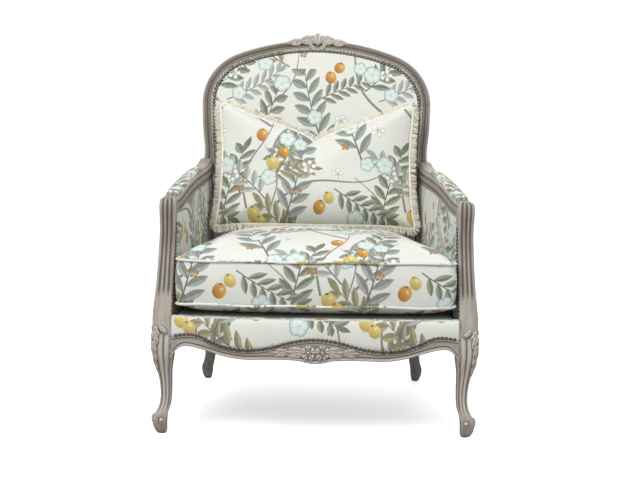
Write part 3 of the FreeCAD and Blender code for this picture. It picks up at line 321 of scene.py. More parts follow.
def skin(name, points, painted_cut_shade=None, grain_at=None, caps=True, material=None, uv=None):
    """A mesh over rings of points, each joined round to itself. Caps close its two ends."""
    rows, count = points.shape[:2]
    index = np.arange(rows * count).reshape(rows, count)
    nxt = np.roll(index, -1, axis=1)
    faces = np.stack([index[:-1], nxt[:-1], nxt[1:], index[1:]], axis=2).reshape(-1, 4).tolist()
    if caps:
        faces += [index[0][::-1].tolist(), index[-1].tolist()]
    piece = mesh_piece(name, points.reshape(-1, 3).tolist(), faces, material)
    mesh = piece.data
    if painted_cut_shade is not None:
        store_wood(mesh, np.broadcast_to(painted_cut_shade, (rows, count)), grain_at)
    if uv is not None:
        layer = mesh.uv_layers.new(name="print")
        corners = np.zeros(len(mesh.loops), int)
        mesh.loops.foreach_get("vertex_index", corners)
        layer.data.foreach_set("uv", uv.reshape(-1, 2)[corners].astype(np.float32).ravel())
    mesh.validate()
    outward(piece)
    return piece


def outward(piece):
    """Turns the faces of a closed mesh outward."""
    mesh = piece.data
    mesh.calc_loop_triangles()
    co = np.array([v.co for v in mesh.vertices])
    tri = np.array([t.vertices for t in mesh.loop_triangles])
    if np.einsum("ij,ij->", co[tri[:, 0]], np.cross(co[tri[:, 1]], co[tri[:, 2]])) < 0:
        mesh.flip_normals()


def other_side(piece, name):
    """The left-hand piece, mirrored from the right-hand one."""
    mesh = piece.data.copy()
    mesh.transform(Matrix.Scale(-1, 4, (1, 0, 0)))
    mesh.flip_normals()
    mesh.name = name
    twin = bpy.data.objects.new(name, mesh)
    bpy.context.scene.collection.objects.link(twin)
    return twin


def settle(piece, body, slot, *nodes):
    """The piece rides on a body and stands for the CAD nodes. The slot is not used."""
    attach(piece, body)
    if nodes:
        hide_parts(*nodes)


def both_sides(piece, slot, node=None):
    """Settles a right-hand piece of the frame and its mirrored twin, and gives the twin."""
    twin = other_side(piece, piece.name.replace("right", "left"))
    for half, side in ((piece, "_right"), (twin, "_left")):
        settle(half, "chair_frame", slot, *([node + side] if node else []))
    return twin


def upright(name, rows, cuts, fade_from, fade_over, steps=90, rake=0.0):
    """A sawn and moulded upright. A row is (up, across, along, width, depth), in millimetres. Its cuts
    fade in above a height, and its sections lean back, by the rake in degrees, above the seat."""
    levels = np.linspace(rows[0][0], rows[-1][0], steps)
    spots = through(rows, levels) / 1000
    fade = np.clip((levels - fade_from) / fade_over, 0, 1)
    local, painted_cut_shade = sections(spots[:, 3], spots[:, 4], cuts, fade, 6.0)
    lean = np.radians(-rake * np.clip((levels - 320) / 130, 0, 1))[:, None]
    points = np.stack([spots[:, 1:2] + local[..., 0], spots[:, 2:3] + local[..., 1] * np.cos(lean),
                       spots[:, 0:1] + local[..., 1] * np.sin(lean)], axis=2)
    grain_at = np.concatenate([local, np.broadcast_to(spots[:, None, 0:1], local.shape[:2] + (1,))], axis=2)
    return skin(name, points, painted_cut_shade, grain_at, material=show_wood)


leg_rows = [
    (3, 366, -350, 22, 22), (7, 367, -351, 26, 26), (14, 368.5, -352.5, 30, 30), (24, 370, -354, 33, 33),
    (36, 370, -354, 34, 34), (46, 368, -352, 31.5, 31.5), (55, 364.5, -348.5, 29, 29),
    (66, 360, -345, 27.5, 27.5),
    (84, 357, -342.5, 26.5, 26.5), (105, 356.5, -342, 27.5, 27.5), (128, 357.5, -343.5, 30, 30),
    (152, 360, -345.5, 35, 35),
    (172, 361, -347, 42, 42), (190, 362, -348, 48.5, 48.5), (212, 362, -348, 52.5, 52.5),
    (243, 361, -347, 53, 53),
]
line_cuts = [(0, -0.64, 0.11, 0.0022), (0, 0.64, 0.11, 0.0022), (0, -0.28, 0.2, -0.0009),
             (0, 0.28, 0.2, -0.0009), (0, 0.0, 0.08, 0.0014), (1, -0.6, 0.13, 0.002),
             (1, 0.6, 0.13, 0.002), (2, 0.6, 0.12, 0.001), (3, 0.6, 0.13, 0.002), (3, -0.6, 0.13, 0.002)]
leg_right = upright("front_leg_wood_right", leg_rows, line_cuts, 52, 14)
both_sides(leg_right, "show_wood", "front_leg")

# Arm posts: they stand on the front legs, swell outward and sweep back to the arms. Three flutes
# run down each face and die out in a husk above the plain, flared foot of the post.
post_rows = [
    (240, 361, -347, 53, 53), (252, 363, -346, 52, 52), (264, 365, -344, 50, 50), (288, 367, -339, 47, 47),
    (322, 366, -329, 44, 44), (362, 364, -317, 42, 42), (405, 362.5, -308, 40, 40), (450, 361, -302, 39, 39),
    (490, 359, -305, 38.5, 39), (516, 359, -306, 39.5, 43), (535, 359, -307, 41, 46),
    (549, 359, -306.5, 41, 46),
    (558, 359, -305.5, 39, 43), (563, 359, -304.5, 35, 38), (565.5, 359, -304, 27, 30),
]
flutes = [(side, place, 0.17, 0.0034) for side in (0, 1, 3) for place in (-0.5, 0.02, 0.54)]
post_right = upright("arm_post_wood_right", post_rows, flutes, 325, 22, steps=110)
both_sides(post_right, "show_wood", "arm_post")

# Arms: moulded rails, bowed in plan, that roll over the post in a knuckle at the front and rise into
# the back post behind.
def fore_and_aft(rows, spots, cuts, fade, square, count=26):
    """Moulded sections along the arm. A row is (along, across, up, width, height), in millimetres."""
    line = through(rows, spots) / 1000
    local, painted_cut_shade = sections(line[:, 3], line[:, 4], cuts, fade, square, count)
    along = np.broadcast_to(line[:, 0:1], painted_cut_shade.shape)
    points = np.stack([line[:, 1:2] + local[..., 0], along, line[:, 2:3] + local[..., 1]], axis=2)
    return points, local, painted_cut_shade


arm_rows = [
    (-318, 359, 542, 36, 41),
    (-308, 359, 542, 39, 45), (-277, 358, 543.5, 39, 46), (-215, 352.6, 553.8, 42, 46),
    (-140, 347, 569, 44, 46),
    (-50, 339.2, 583.6, 45, 46), (45, 331.4, 595, 46, 46), (140, 323.1, 603.5, 46, 46),
    (215, 318, 609, 45, 47),
    (255, 315.5, 614, 43, 53), (284, 313.5, 620, 41, 62),
]
arm_spots = np.concatenate([np.linspace(-318, -300, 8), np.linspace(-296, 284, 90)])
arm_cuts = [(1, -0.42, 0.14, 0.0026), (1, 0.40, 0.14, 0.0026), (1, 0.0, 0.3, 0.0012),
            (3, 0.42, 0.14, 0.0026), (3, -0.40, 0.14, 0.0026), (2, -0.82, 0.1, 0.0012),
            (2, 0.82, 0.1, 0.0012)]
arm_fade = np.clip((arm_spots + 326) / 14, 0, 1)
points, local, painted_cut_shade = fore_and_aft(arm_rows, arm_spots, arm_cuts, arm_fade, 4.5)
grain_at = np.concatenate([local, points[..., 1:2]], axis=2)
arm_right = skin("armrest_wood_right", points, painted_cut_shade, grain_at, material=show_wood)
both_sides(arm_right, "show_wood", "armrest")

# Back posts: rear leg and stile in one piece, kicked back to the floor and raked with the back. Above
# the arm the face carries the same two beads and hollow as the arch.
RAKE = 13.3  # degrees that the back leans
stile_rows = [
    (3, 307, 361, 21, 21), (12, 308, 359, 27, 28), (24, 308, 352, 31, 34), (40, 307, 337, 33, 36),
    (60, 301, 314, 31, 34),
    (85, 296, 289, 30, 33), (112, 295, 267, 31, 34), (145, 297, 249, 33, 38), (185, 300, 240, 37, 44),
    (230, 302, 234, 38, 46),
    (300, 303, 232, 38, 46), (380, 304, 240, 36, 43), (465, 306, 257.5, 35, 42), (560, 309, 280, 36, 40),
    (606, 312, 291, 37, 39), (630, 308, 296.5, 32, 39), (655, 305.2, 302.4, 29.5, 38.4),
    (675, 305.3, 307, 29, 38),
    (723, 310.3, 318, 29, 38), (762, 313.3, 327.5, 29, 38), (810, 315.3, 339.6, 29, 38),
]
face_cuts = [(0, 0.0, 0.36, 0.0042), (0, -0.47, 0.13, 0.0022), (0, 0.47, 0.13, 0.0022),
             (1, -0.55, 0.12, 0.0016), (3, 0.5, 0.1, 0.001)]
stile_right = upright("back_post_wood_right", stile_rows, face_cuts, 560, 30, steps=150, rake=RAKE)
both_sides(stile_right, "show_wood", "back_post")


# Crest rail: the moulded arch and its two shoulders, with a carved shell between acanthus leaves at
# the crown. It lies in the raked plane of the back.
def on_back(across, slope, out):
    """Millimetres across, up the slope and out from the back's face, as metres in space."""
    across, slope, out = np.broadcast_arrays(np.asarray(across, float), slope, out)
    lean_in = math.radians(RAKE)
    y = 235 + slope * math.sin(lean_in) - out * math.cos(lean_in)
    z = 450 + slope * math.cos(lean_in) + out * math.sin(lean_in)
    return np.stack([across, y, z], axis=-1) / 1000


def arch_path(inset):
    """The arch from right to left: points and their outward directions, in the back's plane. Two
    shoulders of a small radius meet an arch of a large one, at the same angle."""
    shoulder_radius, arch_radius, meet, steps = 156 - inset, 620 - inset, 68, 46
    a = np.radians(np.linspace(0, meet, steps))
    shoulder = np.stack([173.8 + shoulder_radius * np.cos(a), 374.2 + shoulder_radius * np.sin(a)], axis=1)
    b = np.radians(np.linspace(meet, 180 - meet, steps + 20))[1:-1]
    arch = np.stack([arch_radius * np.cos(b), -56 + arch_radius * np.sin(b)], axis=1)
    way = np.concatenate([a, b])
    spots = np.concatenate([shoulder, arch, shoulder[::-1] * (-1, 1)])
    outs = np.stack([np.cos(way), np.sin(way)], axis=1)
    return spots, np.concatenate([outs, outs[:steps][::-1] * (-1, 1)])


def run_along(path):
    """How far each point of a path is from its start, measured along it."""
    return np.concatenate([[0], np.cumsum(np.linalg.norm(np.diff(path, axis=0), axis=1))])


spots, outs = arch_path(14.5)
crest_cuts = [(side, place, half, deep * 1000) for side, place, half, deep in face_cuts]
crest_width, crest_depth = np.full(len(spots), 29.0), np.full(len(spots), 38.0)
local, painted_cut_shade = sections(crest_width, crest_depth, crest_cuts, square=6.0)
across = spots[:, 0:1] + local[..., 0] * outs[:, 0:1]
slope = spots[:, 1:2] + local[..., 0] * outs[:, 1:2]
length = run_along(spots)
along = np.broadcast_to(length[:, None, None], local.shape[:2] + (1,))
grain_at = np.concatenate([local, along], axis=2) / 1000
crest = skin("crest_wood", on_back(across, slope, -19 - local[..., 1]), painted_cut_shade, grain_at, material=show_wood)
settle(crest, "chair_frame", "show_wood", "crest_rail")


def leaf(root, tip, normal, width, rise, lobes=3, sharp=0.8, sunk=2.0, bend=0.0):
    """A carved leaf in millimetres: a lobed blade with a vein, raised off the wood it is cut from."""
    root, tip, normal = (np.array(v, float) for v in (root, tip, normal))
    run = tip - root
    reach = np.linalg.norm(run)
    side = np.cross(normal, run / reach)
    u = np.linspace(0, 1, 34)[:, None]
    v = np.linspace(-1, 1, 19)[None, :]
    outline = width / 2 * np.sin(np.pi * u ** sharp) ** 0.6
    outline = outline * (1 + 0.20 * np.abs(np.sin(lobes * np.pi * u)) - 0.1) + 0.3
    high = rise * (1 - np.abs(v) ** 2.2) * np.sin(np.pi * (u * 0.94 + 0.03)) ** 0.4
    vein = np.exp(-(v / 0.13) ** 2) * rise * 0.4
    ribs = 0.16 * rise * np.cos(2 * np.pi * (lobes * u - np.abs(v) * 0.9)) * (1 - v**2)
    top = high - vein + ribs
    base = root + run * u[..., None] + side * (v * outline + bend * np.sin(np.pi * u))[..., None]
    upper = base + normal * top[..., None]
    lower = base - normal * sunk
    points = np.concatenate([upper, lower[:, ::-1]], axis=1) / 1000
    # Painted shade: dark in the vein, between the ribs, along the blade's edge and on its sunk sides; a
    # painted highlight on the raised blade and rib crests.
    shade = np.clip(vein / rise * 1.6 - ribs / rise * 1.6, -0.9, 0.8)
    shade = shade - 0.55 * (np.abs(v) < 0.7) * (1 - vein / rise) + 0.75 * (np.abs(v) > 0.9)
    painted_cut_shade = np.concatenate([shade, np.full(lower.shape[:2], 0.25)], axis=1)
    return skin("leaf", points, painted_cut_shade, points, material=show_wood)


def join(name, pieces):
    """One object from several carved pieces."""
    verts, faces, painted_cut_shades, grains = [], [], [], []
    for piece in pieces:
        mesh = piece.data
        faces += [[len(verts) + i for i in p.vertices] for p in mesh.polygons]
        verts += [v.co.copy() for v in mesh.vertices]
        painted_cut_shades += [d.value for d in mesh.attributes["painted_cut_shade"].data]
        grains += [v for d in mesh.attributes["grain"].data for v in d.vector]
        bpy.data.objects.remove(piece)
    whole = mesh_piece(name, verts, faces, show_wood)
    store_wood(whole.data, painted_cut_shades, grains)
    return whole


def back_leaf(root, tip, width, rise, out=0.0, **shape):
    """A leaf laid on the back's face, its root and tip given across and up the slope."""
    ends = [on_back(spot[0], spot[1], out) * 1000 for spot in (root, tip)]
    normal = on_back(0, 0, 1) * 1000 - on_back(0, 0, 0) * 1000
    return leaf(ends[0], ends[1], normal, width, rise, **shape)


shell = []
for degrees, reach, wide in ((90, 37, 17), (61, 34, 15), (119, 34, 15)):
    way = math.radians(degrees)
    tip = (reach * math.cos(way), 547 + reach * math.sin(way))
    shell.append(back_leaf((0, 545), tip, wide, 4.5, 1.5, lobes=1, sharp=1.5, sunk=14))
for side in (-1, 1):
    for root, tip, wide, rise, out, lobes, sunk, bend in (
        ((10, 566), (50, 563), 17, 4.0, 0.8, 3, 14, 3), ((12, 552), (52, 556), 17, 4.5, 1.0, 3, 12, 2),
        ((42, 561), (92, 550), 13, 3.5, 0.3, 3, 12, 3), ((46, 553), (78, 549), 11, 3.5, 0.3, 2, 10, -2),
        ((24, 551), (1.5, 533), 12, 4.0, 1.2, 1, 10, 3),
    ):
        root, tip = (side * root[0], root[1]), (side * tip[0], tip[1])
        shell.append(back_leaf(root, tip, wide, rise, out, lobes=lobes, sunk=sunk, bend=side * bend))
crest_shell = join("crest_carving", shell)
settle(crest_shell, "chair_frame", "show_wood")


# Seat rails: the bowed front rail swings down to two carved flowers and up again to the knees, with
# a bead along both edges. The side rails are plain boards with the same lower bead.
def rail_skin(name, track, inward, low, high, top, thick, rebate):
    """A moulded rail over a plan track, in millimetres, from its lower edge to its wood line."""
    share = np.concatenate([np.linspace(0, 0.3, 16), np.linspace(0.33, 0.67, 9), np.linspace(0.7, 1, 16)])
    low, high, top = (np.broadcast_to(v, len(track))[:, None].astype(float) for v in (low, high, top))
    z = low + (high - low) * share
    under, over = z - low, high - z
    dip = 2.2 * np.exp(-((under - 8.5) / 1.5) ** 2) + 1.9 * np.exp(-((over - 6.0) / 1.3) ** 2)
    dip += 3.0 * np.clip(1 - under / 2.4, 0, 1) ** 2 + 2.4 * np.clip(1 - over / 2.0, 0, 1) ** 2
    dip += 2.0 * np.clip(np.minimum(under - 9, over - 7) / 12, 0, 1)
    # Painted shade in the two bead grooves and a painted highlight on the rounded beads at the edges.
    shade = np.exp(-((under - 8.5) / 1.7) ** 2) + np.exp(-((over - 6.0) / 1.5) ** 2)
    shade += -0.6 * np.exp(-((under - 4) / 2.5) ** 2) - 0.6 * np.exp(-((over - 3) / 1.8) ** 2)
    back_z = np.concatenate([high, top, top, low + 0 * top], axis=1)
    back_dip = np.broadcast_to([rebate, rebate, thick, thick], back_z.shape)
    z = np.concatenate([z, back_z], axis=1)
    dip = np.concatenate([dip, back_dip], axis=1)
    # The rail's back and rebate get an even light painted shade.
    shade = np.concatenate([shade, 0 * back_z + 0.3], axis=1)
    plan = track[:, None, :] + inward[:, None, :] * dip[..., None]
    points = np.concatenate([plan, z[..., None]], axis=2) / 1000
    run = np.broadcast_to(run_along(track)[:, None], z.shape)
    return skin(name, points, shade, np.stack([dip, z, run], axis=2) / 1000, material=show_wood)


def mirrored_rows(rows):
    """The rows of a line, given from the middle to the right, for its whole width."""
    return [(-x, z) for x, z in reversed(rows[1:])] + rows


RAIL_BOW, HALF_RAIL = 26, 348


def rail_front(x):
    """Where the bowed face of the front rail lies at a place across it, in millimetres."""
    return -373 - RAIL_BOW * (1 - (x / HALF_RAIL) ** 2)


wood_line = mirrored_rows([
    (0, 236), (45, 231.5), (90, 219.5), (120, 212), (150, 208.5), (183, 208.5), (215, 214), (250, 226),
    (278, 239), (296, 242), (314, 241), (348, 235),
])
low_line = mirrored_rows([
    (0, 181), (17, 182), (36, 186.5), (60, 188.5), (90, 189), (130, 188), (174, 187.5), (222, 195),
    (262, 206.5), (298, 214.5), (316, 214.5), (328, 208), (338, 196), (348, 182),
])
rail_x = np.linspace(-347, 347, 260)
rail_y = rail_front(rail_x)
rail_low = through(low_line, rail_x)[:, 1]
rail_high = through(wood_line, rail_x)[:, 1]
track = np.stack([rail_x, rail_y], axis=1)
inward = np.broadcast_to(np.array([[0.0, 1.0]]), track.shape)
front_rail = rail_skin("front_rail_wood", track, inward, rail_low, rail_high, 262, 34, 6)
settle(front_rail, "chair_frame", "show_wood", "front_rail")
side_t = np.linspace(0, 1, 60)[:, None]
track = np.array([[382.5, -330.0]]) * (1 - side_t) + np.array([[320.5, 230.0]]) * side_t
inward = np.broadcast_to(np.array([[-0.9939, -0.1100]]), track.shape)
side_low = 206 - 4 * np.sin(np.pi * side_t[:, 0]) + 9 * np.clip(1 - side_t[:, 0] / 0.15, 0, 1) ** 1.5
side_rail = rail_skin("side_rail_wood_right", track, inward, side_low, 261.5, 262, 26, 1)
both_sides(side_rail, "show_wood", "side_rail")


def rail_face(x, z, out=0.0):
    return np.array([x, rail_front(x) - out, z])


def whorl(centre, normal, radius):
    """The round end of a scroll, in millimetres: a rolled rim, a groove and a button."""
    normal = Vector(normal).normalized()
    side = normal.orthogonal().normalized()
    other = normal.cross(side)
    # The third number of each step is a painted shade: dark under the rim and in the groove, with a painted
    # highlight on the rim and the button.
    profile = [(1.12, -3.0, 1.0), (1.10, 0.2, 1.0), (1.0, 2.4, 0.0), (0.9, 3.2, -0.8), (0.82, 2.8, -0.2),
               (0.76, 1.0, 0.9), (0.70, 0.2, 1.2), (0.64, 1.2, 0.9), (0.56, 3.0, -0.1), (0.36, 4.4, -0.7),
               (0.16, 5.0, -0.8), (0.03, 5.1, -0.8)]
    spin = np.linspace(0, 2 * math.pi, 28, endpoint=False)
    ring = np.outer(np.cos(spin), side) + np.outer(np.sin(spin), other)
    points = np.array([np.array(centre) + ring * radius * share + np.array(normal) * high
                       for share, high, _ in profile]) / 1000
    painted_cut_shade = np.array([[shade] for _, _, shade in profile])
    return skin("whorl", points, painted_cut_shade, points, material=show_wood)


flowers = []
for side in (-1, 1):
    middle = (side * 17, 208)
    for count in range(5):
        way = math.radians(90 + 72 * count)
        root = rail_face(middle[0] + 3 * math.cos(way), middle[1] + 3 * math.sin(way), -1)
        tip = rail_face(middle[0] + 17.5 * math.cos(way), middle[1] + 17.5 * math.sin(way), 1.0)
        flowers.append(leaf(root, tip, (0, -1, 0), 17.5, 4.5, lobes=0.5, sharp=1.75, sunk=4))
    flowers.append(whorl(rail_face(middle[0], 208, 3.0), (0, -1, 0), 6.5))
    for root, tip, wide, bend in (
        ((30, 212), (62, 216), 13, 1.5), ((30, 203), (66, 199), 14, -1.5), ((32, 207), (74, 209), 10, 0),
        ((66, 208), (97, 214), 10, 1.5), ((66, 204), (100, 200), 10, -1.5), ((72, 206), (112, 207), 7, 0),
        ((4, 200), (14, 184), 7, 0), ((20, 192), (30, 186), 6, 0),
    ):
        root, tip = rail_face(side * root[0], root[1], -1), rail_face(side * tip[0], tip[1], -1.5)
        flowers.append(leaf(root, tip, (0, -1, 0), wide, 4.6, lobes=2, sunk=4, bend=side * bend))
rail_carving = join("front_rail_carving", flowers)
settle(rail_carving, "chair_frame", "show_wood")

# Knee carving: an acanthus cuff wraps the outer corner of each knee, from the rail's height down to
# the narrowing of the leg.
cuff = []
for root, tip, normal, wide, bend in (
    ((371, -375, 262), (352, -377, 246), (0, -1, 0), 13, 1), ((384, -374.5, 262), (371, -376, 238),
    (0.2, -1, 0), 14, 1),
    ((386, -374, 248), (376, -376, 218), (0.2, -1, 0), 15, -1), ((386, -374, 228), (379, -375, 196),
    (0.2, -1, 0), 13, 1),
    ((385, -372, 210), (379, -369, 172), (0.3, -1, 0.1), 12, -1), ((381, -367, 188), (376, -362, 150),
    (0.4, -1, 0.2), 9, 0),
    ((388.5, -366, 262), (388, -345, 244), (1, -0.1, 0), 14, 1), ((389, -368, 246), (389, -350, 214),
    (1, -0.2, 0), 15, -1),
    ((389, -367, 224), (388, -356, 190), (1, -0.2, 0), 13, 1), ((387, -366, 202), (382, -359, 165),
    (1, -0.4, 0.1), 11, -1),
):
    normal = np.array(normal) / np.linalg.norm(normal)
    cuff.append(leaf(root, tip, normal, wide, 4.0, lobes=2, sunk=3, bend=bend))
both_sides(join("knee_carving_right", cuff), "show_wood")

# Foot scrolls: each front foot ends in a scroll that turns up and outward, with a round whorl on its
# front and its outer face.
whorls = [whorl((366, -370.5, 36), (-0.1, -1, 0.1), 9.5), whorl((386.5, -351, 36), (1, -0.1, 0.1), 9.5)]
both_sides(join("foot_scroll_right", whorls), "show_wood")

# Inside back: a tight, crowned pad under printed linen, held by a close row of dark pewter nails
# along the frame. The print is a repeat of leafy stems with blossoms, berries and fruit.
TILE = (0.44, 0.51, 1.0)


def scaled_node(tree, vector, factor):
    product = vector_node(tree, "SCALE", vector)
    tree.links.new(factor, product.node.inputs["Scale"])
    return product


def stamp_group(name, colors):
    """A printed motif: takes the cloth's coordinates and what is already printed under it. Gives its
    tree, its sockets and the place within the motif."""
    takes = [("Place", "v"), ("Under", "c"), ("Centre", "v"), ("Angle", "f"), ("Size", "f")]
    takes += [(title, "c") for title in colors] + ([("Curve", "f")] if name == "sprig" else [])
    tree, take, give = group_of(name, takes, [("Color", "c")])
    away = vector_node(tree, "SUBTRACT", take["Place"], take["Centre"])
    wrapped = vector_node(tree, "WRAP", away, tuple(v / 2 for v in TILE), tuple(-v / 2 for v in TILE))
    turned = tree.nodes.new("ShaderNodeVectorRotate")
    turned.rotation_type = "Z_AXIS"
    tree.links.new(wrapped, turned.inputs["Vector"])
    tree.links.new(math_node(tree, "MULTIPLY", take["Angle"], -math.pi / 180), turned.inputs["Angle"])
    place = scaled_node(tree, turned.outputs[0], math_node(tree, "DIVIDE", 1.0, take["Size"]))
    parts = tree.nodes.new("ShaderNodeSeparateXYZ")
    tree.links.new(place, parts.inputs[0])
    return tree, take, give["Color"], parts.outputs[0], parts.outputs[1], place


def polar(tree, x, y):
    squares = [math_node(tree, "MULTIPLY", v, v) for v in (x, y)]
    return math_node(tree, "SQRT", math_node(tree, "ADD", *squares)), math_node(tree, "ARCTAN2", y, x)


def edge_mask(tree, inside, soft):
    return math_node(tree, "DIVIDE", inside, soft, clamp=True)


sprig, take, give, x, y, place = stamp_group("sprig", ["Dark", "Light", "Stem"])
plus, less, times, times_plus = steps_in(sprig)
leaf_pitch = 0.135
bent = less(y, times(take["Curve"], times(x, x)))
off = math_node(sprig, "ABSOLUTE", bent)
foot = less(less(x, times(off, 0.93)), times(math_node(sprig, "SIGN", bent), 0.034))
count = math_node(sprig, "ROUND", math_node(sprig, "DIVIDE", foot, leaf_pitch))
count = math_node(sprig, "MINIMUM", math_node(sprig, "MAXIMUM", count, 1.0), 6.0)
shift = less(foot, times(count, leaf_pitch))
leaf_u = plus(times(shift, 0.68), times(off, 1.365))
leaf_u = math_node(sprig, "DIVIDE", leaf_u, times_plus(count, -0.012, 0.26), clamp=True)
leaf_w = math_node(sprig, "ABSOLUTE", times(shift, 0.73))
arc = math_node(sprig, "MAXIMUM", math_node(sprig, "SINE", times(leaf_u, math.pi)), 0.0)
blade = less(times(math_node(sprig, "POWER", arc, 0.8), 0.043), leaf_w)
end_u = math_node(sprig, "DIVIDE", less(x, 0.86), 0.2, clamp=True)
end_arc = math_node(sprig, "MAXIMUM", math_node(sprig, "SINE", times(end_u, math.pi)), 0.0)
end_blade = less(times(end_arc, 0.04), off)
leaves = edge_mask(sprig, math_node(sprig, "MAXIMUM", blade, end_blade), 0.006)
within = times(math_node(sprig, "GREATER_THAN", x, 0.0), math_node(sprig, "LESS_THAN", x, 0.9))
stem = times(edge_mask(sprig, less(times_plus(x, -0.006, 0.011), off), 0.004), within)
mottle = times(noise_node(sprig, place, 22.0, 2.0), 0.7)
half_dark = times_plus(math_node(sprig, "GREATER_THAN", shift, 0.0), 0.55, mottle, clamp=True)
leaf_color = mix_node(sprig, half_dark, take["Light"], take["Dark"])
rib = times(edge_mask(sprig, less(0.0045, leaf_w), 0.003), 0.6)
leaf_color = mix_node(sprig, rib, leaf_color, take["Stem"])
color = mix_node(sprig, stem, take["Under"], take["Stem"])
sprig.links.new(mix_node(sprig, leaves, color, leaf_color), give)

blossom, take, give, x, y, place = stamp_group("blossom", ["Body", "Rim", "Heart"])
plus, less, times, times_plus = steps_in(blossom)
far, way = polar(blossom, x, y)
petal = math_node(blossom, "ABSOLUTE", math_node(blossom, "COSINE", times(way, 2.5)))
reach = times_plus(math_node(blossom, "POWER", petal, 0.6), 0.17, 0.83)
share = math_node(blossom, "DIVIDE", far, reach)
inside = edge_mask(blossom, less(1.0, share), 0.05)
blot = noise_node(blossom, place, 3.2, 3.0)
full = times_plus(blot, 0.8, times_plus(share, 0.9, -0.55), clamp=True)
fill = mix_node(blossom, full, (0.74, 0.80, 0.77), take["Body"])
notch = times(edge_mask(blossom, less(0.16, petal), 0.1), 0.5)
rim = plus(times_plus(share, 5.0, -4.0, clamp=True), notch, clamp=True)
fill = mix_node(blossom, times(rim, 0.85), fill, take["Rim"])
ray = math_node(blossom, "ABSOLUTE", math_node(blossom, "SINE", times(way, 9.0)))
spoke = times(ray, edge_mask(blossom, less(0.42, far), 0.2))
fill = mix_node(blossom, times(spoke, 0.35), fill, take["Rim"])
fill = mix_node(blossom, edge_mask(blossom, less(0.13, far), 0.05), fill, take["Heart"])
blossom.links.new(mix_node(blossom, inside, take["Under"], fill), give)

fruit, take, give, x, y, place = stamp_group("fruit", ["Body", "Shade"])
plus, less, times, times_plus = steps_in(fruit)
far, _ = polar(fruit, x, times(y, 0.86))
inside = edge_mask(fruit, less(1.0, far), 0.06)
lit = times_plus(plus(x, y), 0.36, times(noise_node(fruit, place, 2.0, 3.0), 0.9), clamp=True)
fill = mix_node(fruit, lit, take["Shade"], take["Body"])
fill = mix_node(fruit, times_plus(far, 8.0, -7.2, clamp=True), fill, take["Shade"])
glint, _ = polar(fruit, less(x, 0.3), less(y, 0.3))
fill = mix_node(fruit, times(edge_mask(fruit, less(0.3, glint), 0.2), 0.55), fill, (0.86, 0.80, 0.60))
calyx, _ = polar(fruit, x, less(y, 1.05))
fill = mix_node(fruit, edge_mask(fruit, less(0.26, calyx), 0.06), fill, (0.16, 0.14, 0.10))
fruit.links.new(mix_node(fruit, inside, take["Under"], fill), give)

cluster, take, give, x, y, place = stamp_group("cluster", ["Dot", "Edge", "Heart"])
plus, less, times, times_plus = steps_in(cluster)
far, way = polar(cluster, x, y)
folded = math_node(cluster, "WRAP", way, math.pi / 5, -math.pi / 5)
dot_x = less(times(far, math_node(cluster, "COSINE", folded)), 0.62)
dot, _ = polar(cluster, dot_x, times(far, math_node(cluster, "SINE", folded)))
color = take["Under"]
for reach, from_where, title in ((0.34, dot, "Edge"), (0.27, dot, "Dot"), (0.24, far, "Heart")):
    color = mix_node(cluster, edge_mask(cluster, less(reach, from_where), 0.05), color, take[title])
cluster.links.new(color, give)

bough, take, give, x, y, place = stamp_group("bough", ["Body", "Shade"])
plus, less, times, times_plus = steps_in(bough)
wave = plus(y, times(math_node(bough, "SINE", times(x, 3.4)), 0.13))
width = plus(times_plus(x, -0.008, 0.0115), times(noise_node(bough, place, 9.0, 2.0), 0.008))
line = edge_mask(bough, less(width, math_node(bough, "ABSOLUTE", wave)), 0.005)
line = times(line, math_node(bough, "LESS_THAN", math_node(bough, "ABSOLUTE", x), 1.0))
fill = mix_node(bough, times_plus(wave, 60.0, 0.5, clamp=True), take["Body"], take["Shade"])
bough.links.new(mix_node(bough, line, take["Under"], fill), give)

sage, sage_pale = (0.150, 0.175, 0.125), (0.36, 0.40, 0.31)
slate, olive = (0.20, 0.225, 0.21), (0.24, 0.22, 0.12)
bark, aqua, aqua_rim = (0.17, 0.155, 0.135), (0.40, 0.52, 0.50), (0.155, 0.215, 0.20)
ochre, ochre_dark = (0.66, 0.37, 0.09), (0.38, 0.18, 0.05)
lemon, lemon_dark = (0.68, 0.56, 0.20), (0.46, 0.36, 0.11)
motifs = []
for x, y, angle, size in ((-0.12, -0.10, 62, 0.20), (0.13, 0.05, 118, 0.21), (-0.02, 0.22, 20, 0.19),
                          (0.20, -0.20, 78, 0.17), (-0.20, 0.16, 96, 0.16)):
    motifs.append((bough, x, y, angle, size, {"Body": (0.34, 0.32, 0.29), "Shade": bark}))
for x, y, angle, size, curve, dark, light in (
    (-0.19, -0.27, 58, 0.22, 0.16, sage, sage_pale), (0.05, -0.24, 112, 0.24, -0.14, slate, sage_pale),
    (0.16, -0.05, 40, 0.19, 0.2, sage, (0.30, 0.35, 0.25)),
    (-0.06, 0.02, 150, 0.20, -0.18, olive, (0.44, 0.42, 0.27)),
    (-0.17, 0.10, 70, 0.22, 0.12, slate, (0.42, 0.45, 0.41)), (0.10, 0.10, 84, 0.20, -0.2, sage, sage_pale),
    (0.22, 0.17, 130, 0.17, 0.15, (0.30, 0.33, 0.30), (0.50, 0.53, 0.48)),
    (0.02, -0.08, 28, 0.15, -0.1, sage, sage_pale),
    (-0.24, -0.08, 20, 0.16, 0.2, (0.30, 0.33, 0.30), (0.50, 0.53, 0.48)),
    (0.20, -0.28, 20, 0.14, -0.2, olive, (0.44, 0.42, 0.27)),
    (-0.03, 0.20, -35, 0.16, 0.14, sage, sage_pale), (-0.08, -0.16, 200, 0.13, 0.1, slate, sage_pale),
):
    inputs = {"Curve": curve, "Dark": dark, "Light": light, "Stem": bark}
    motifs.append((sprig, x, y, angle, size * 1.2, inputs))
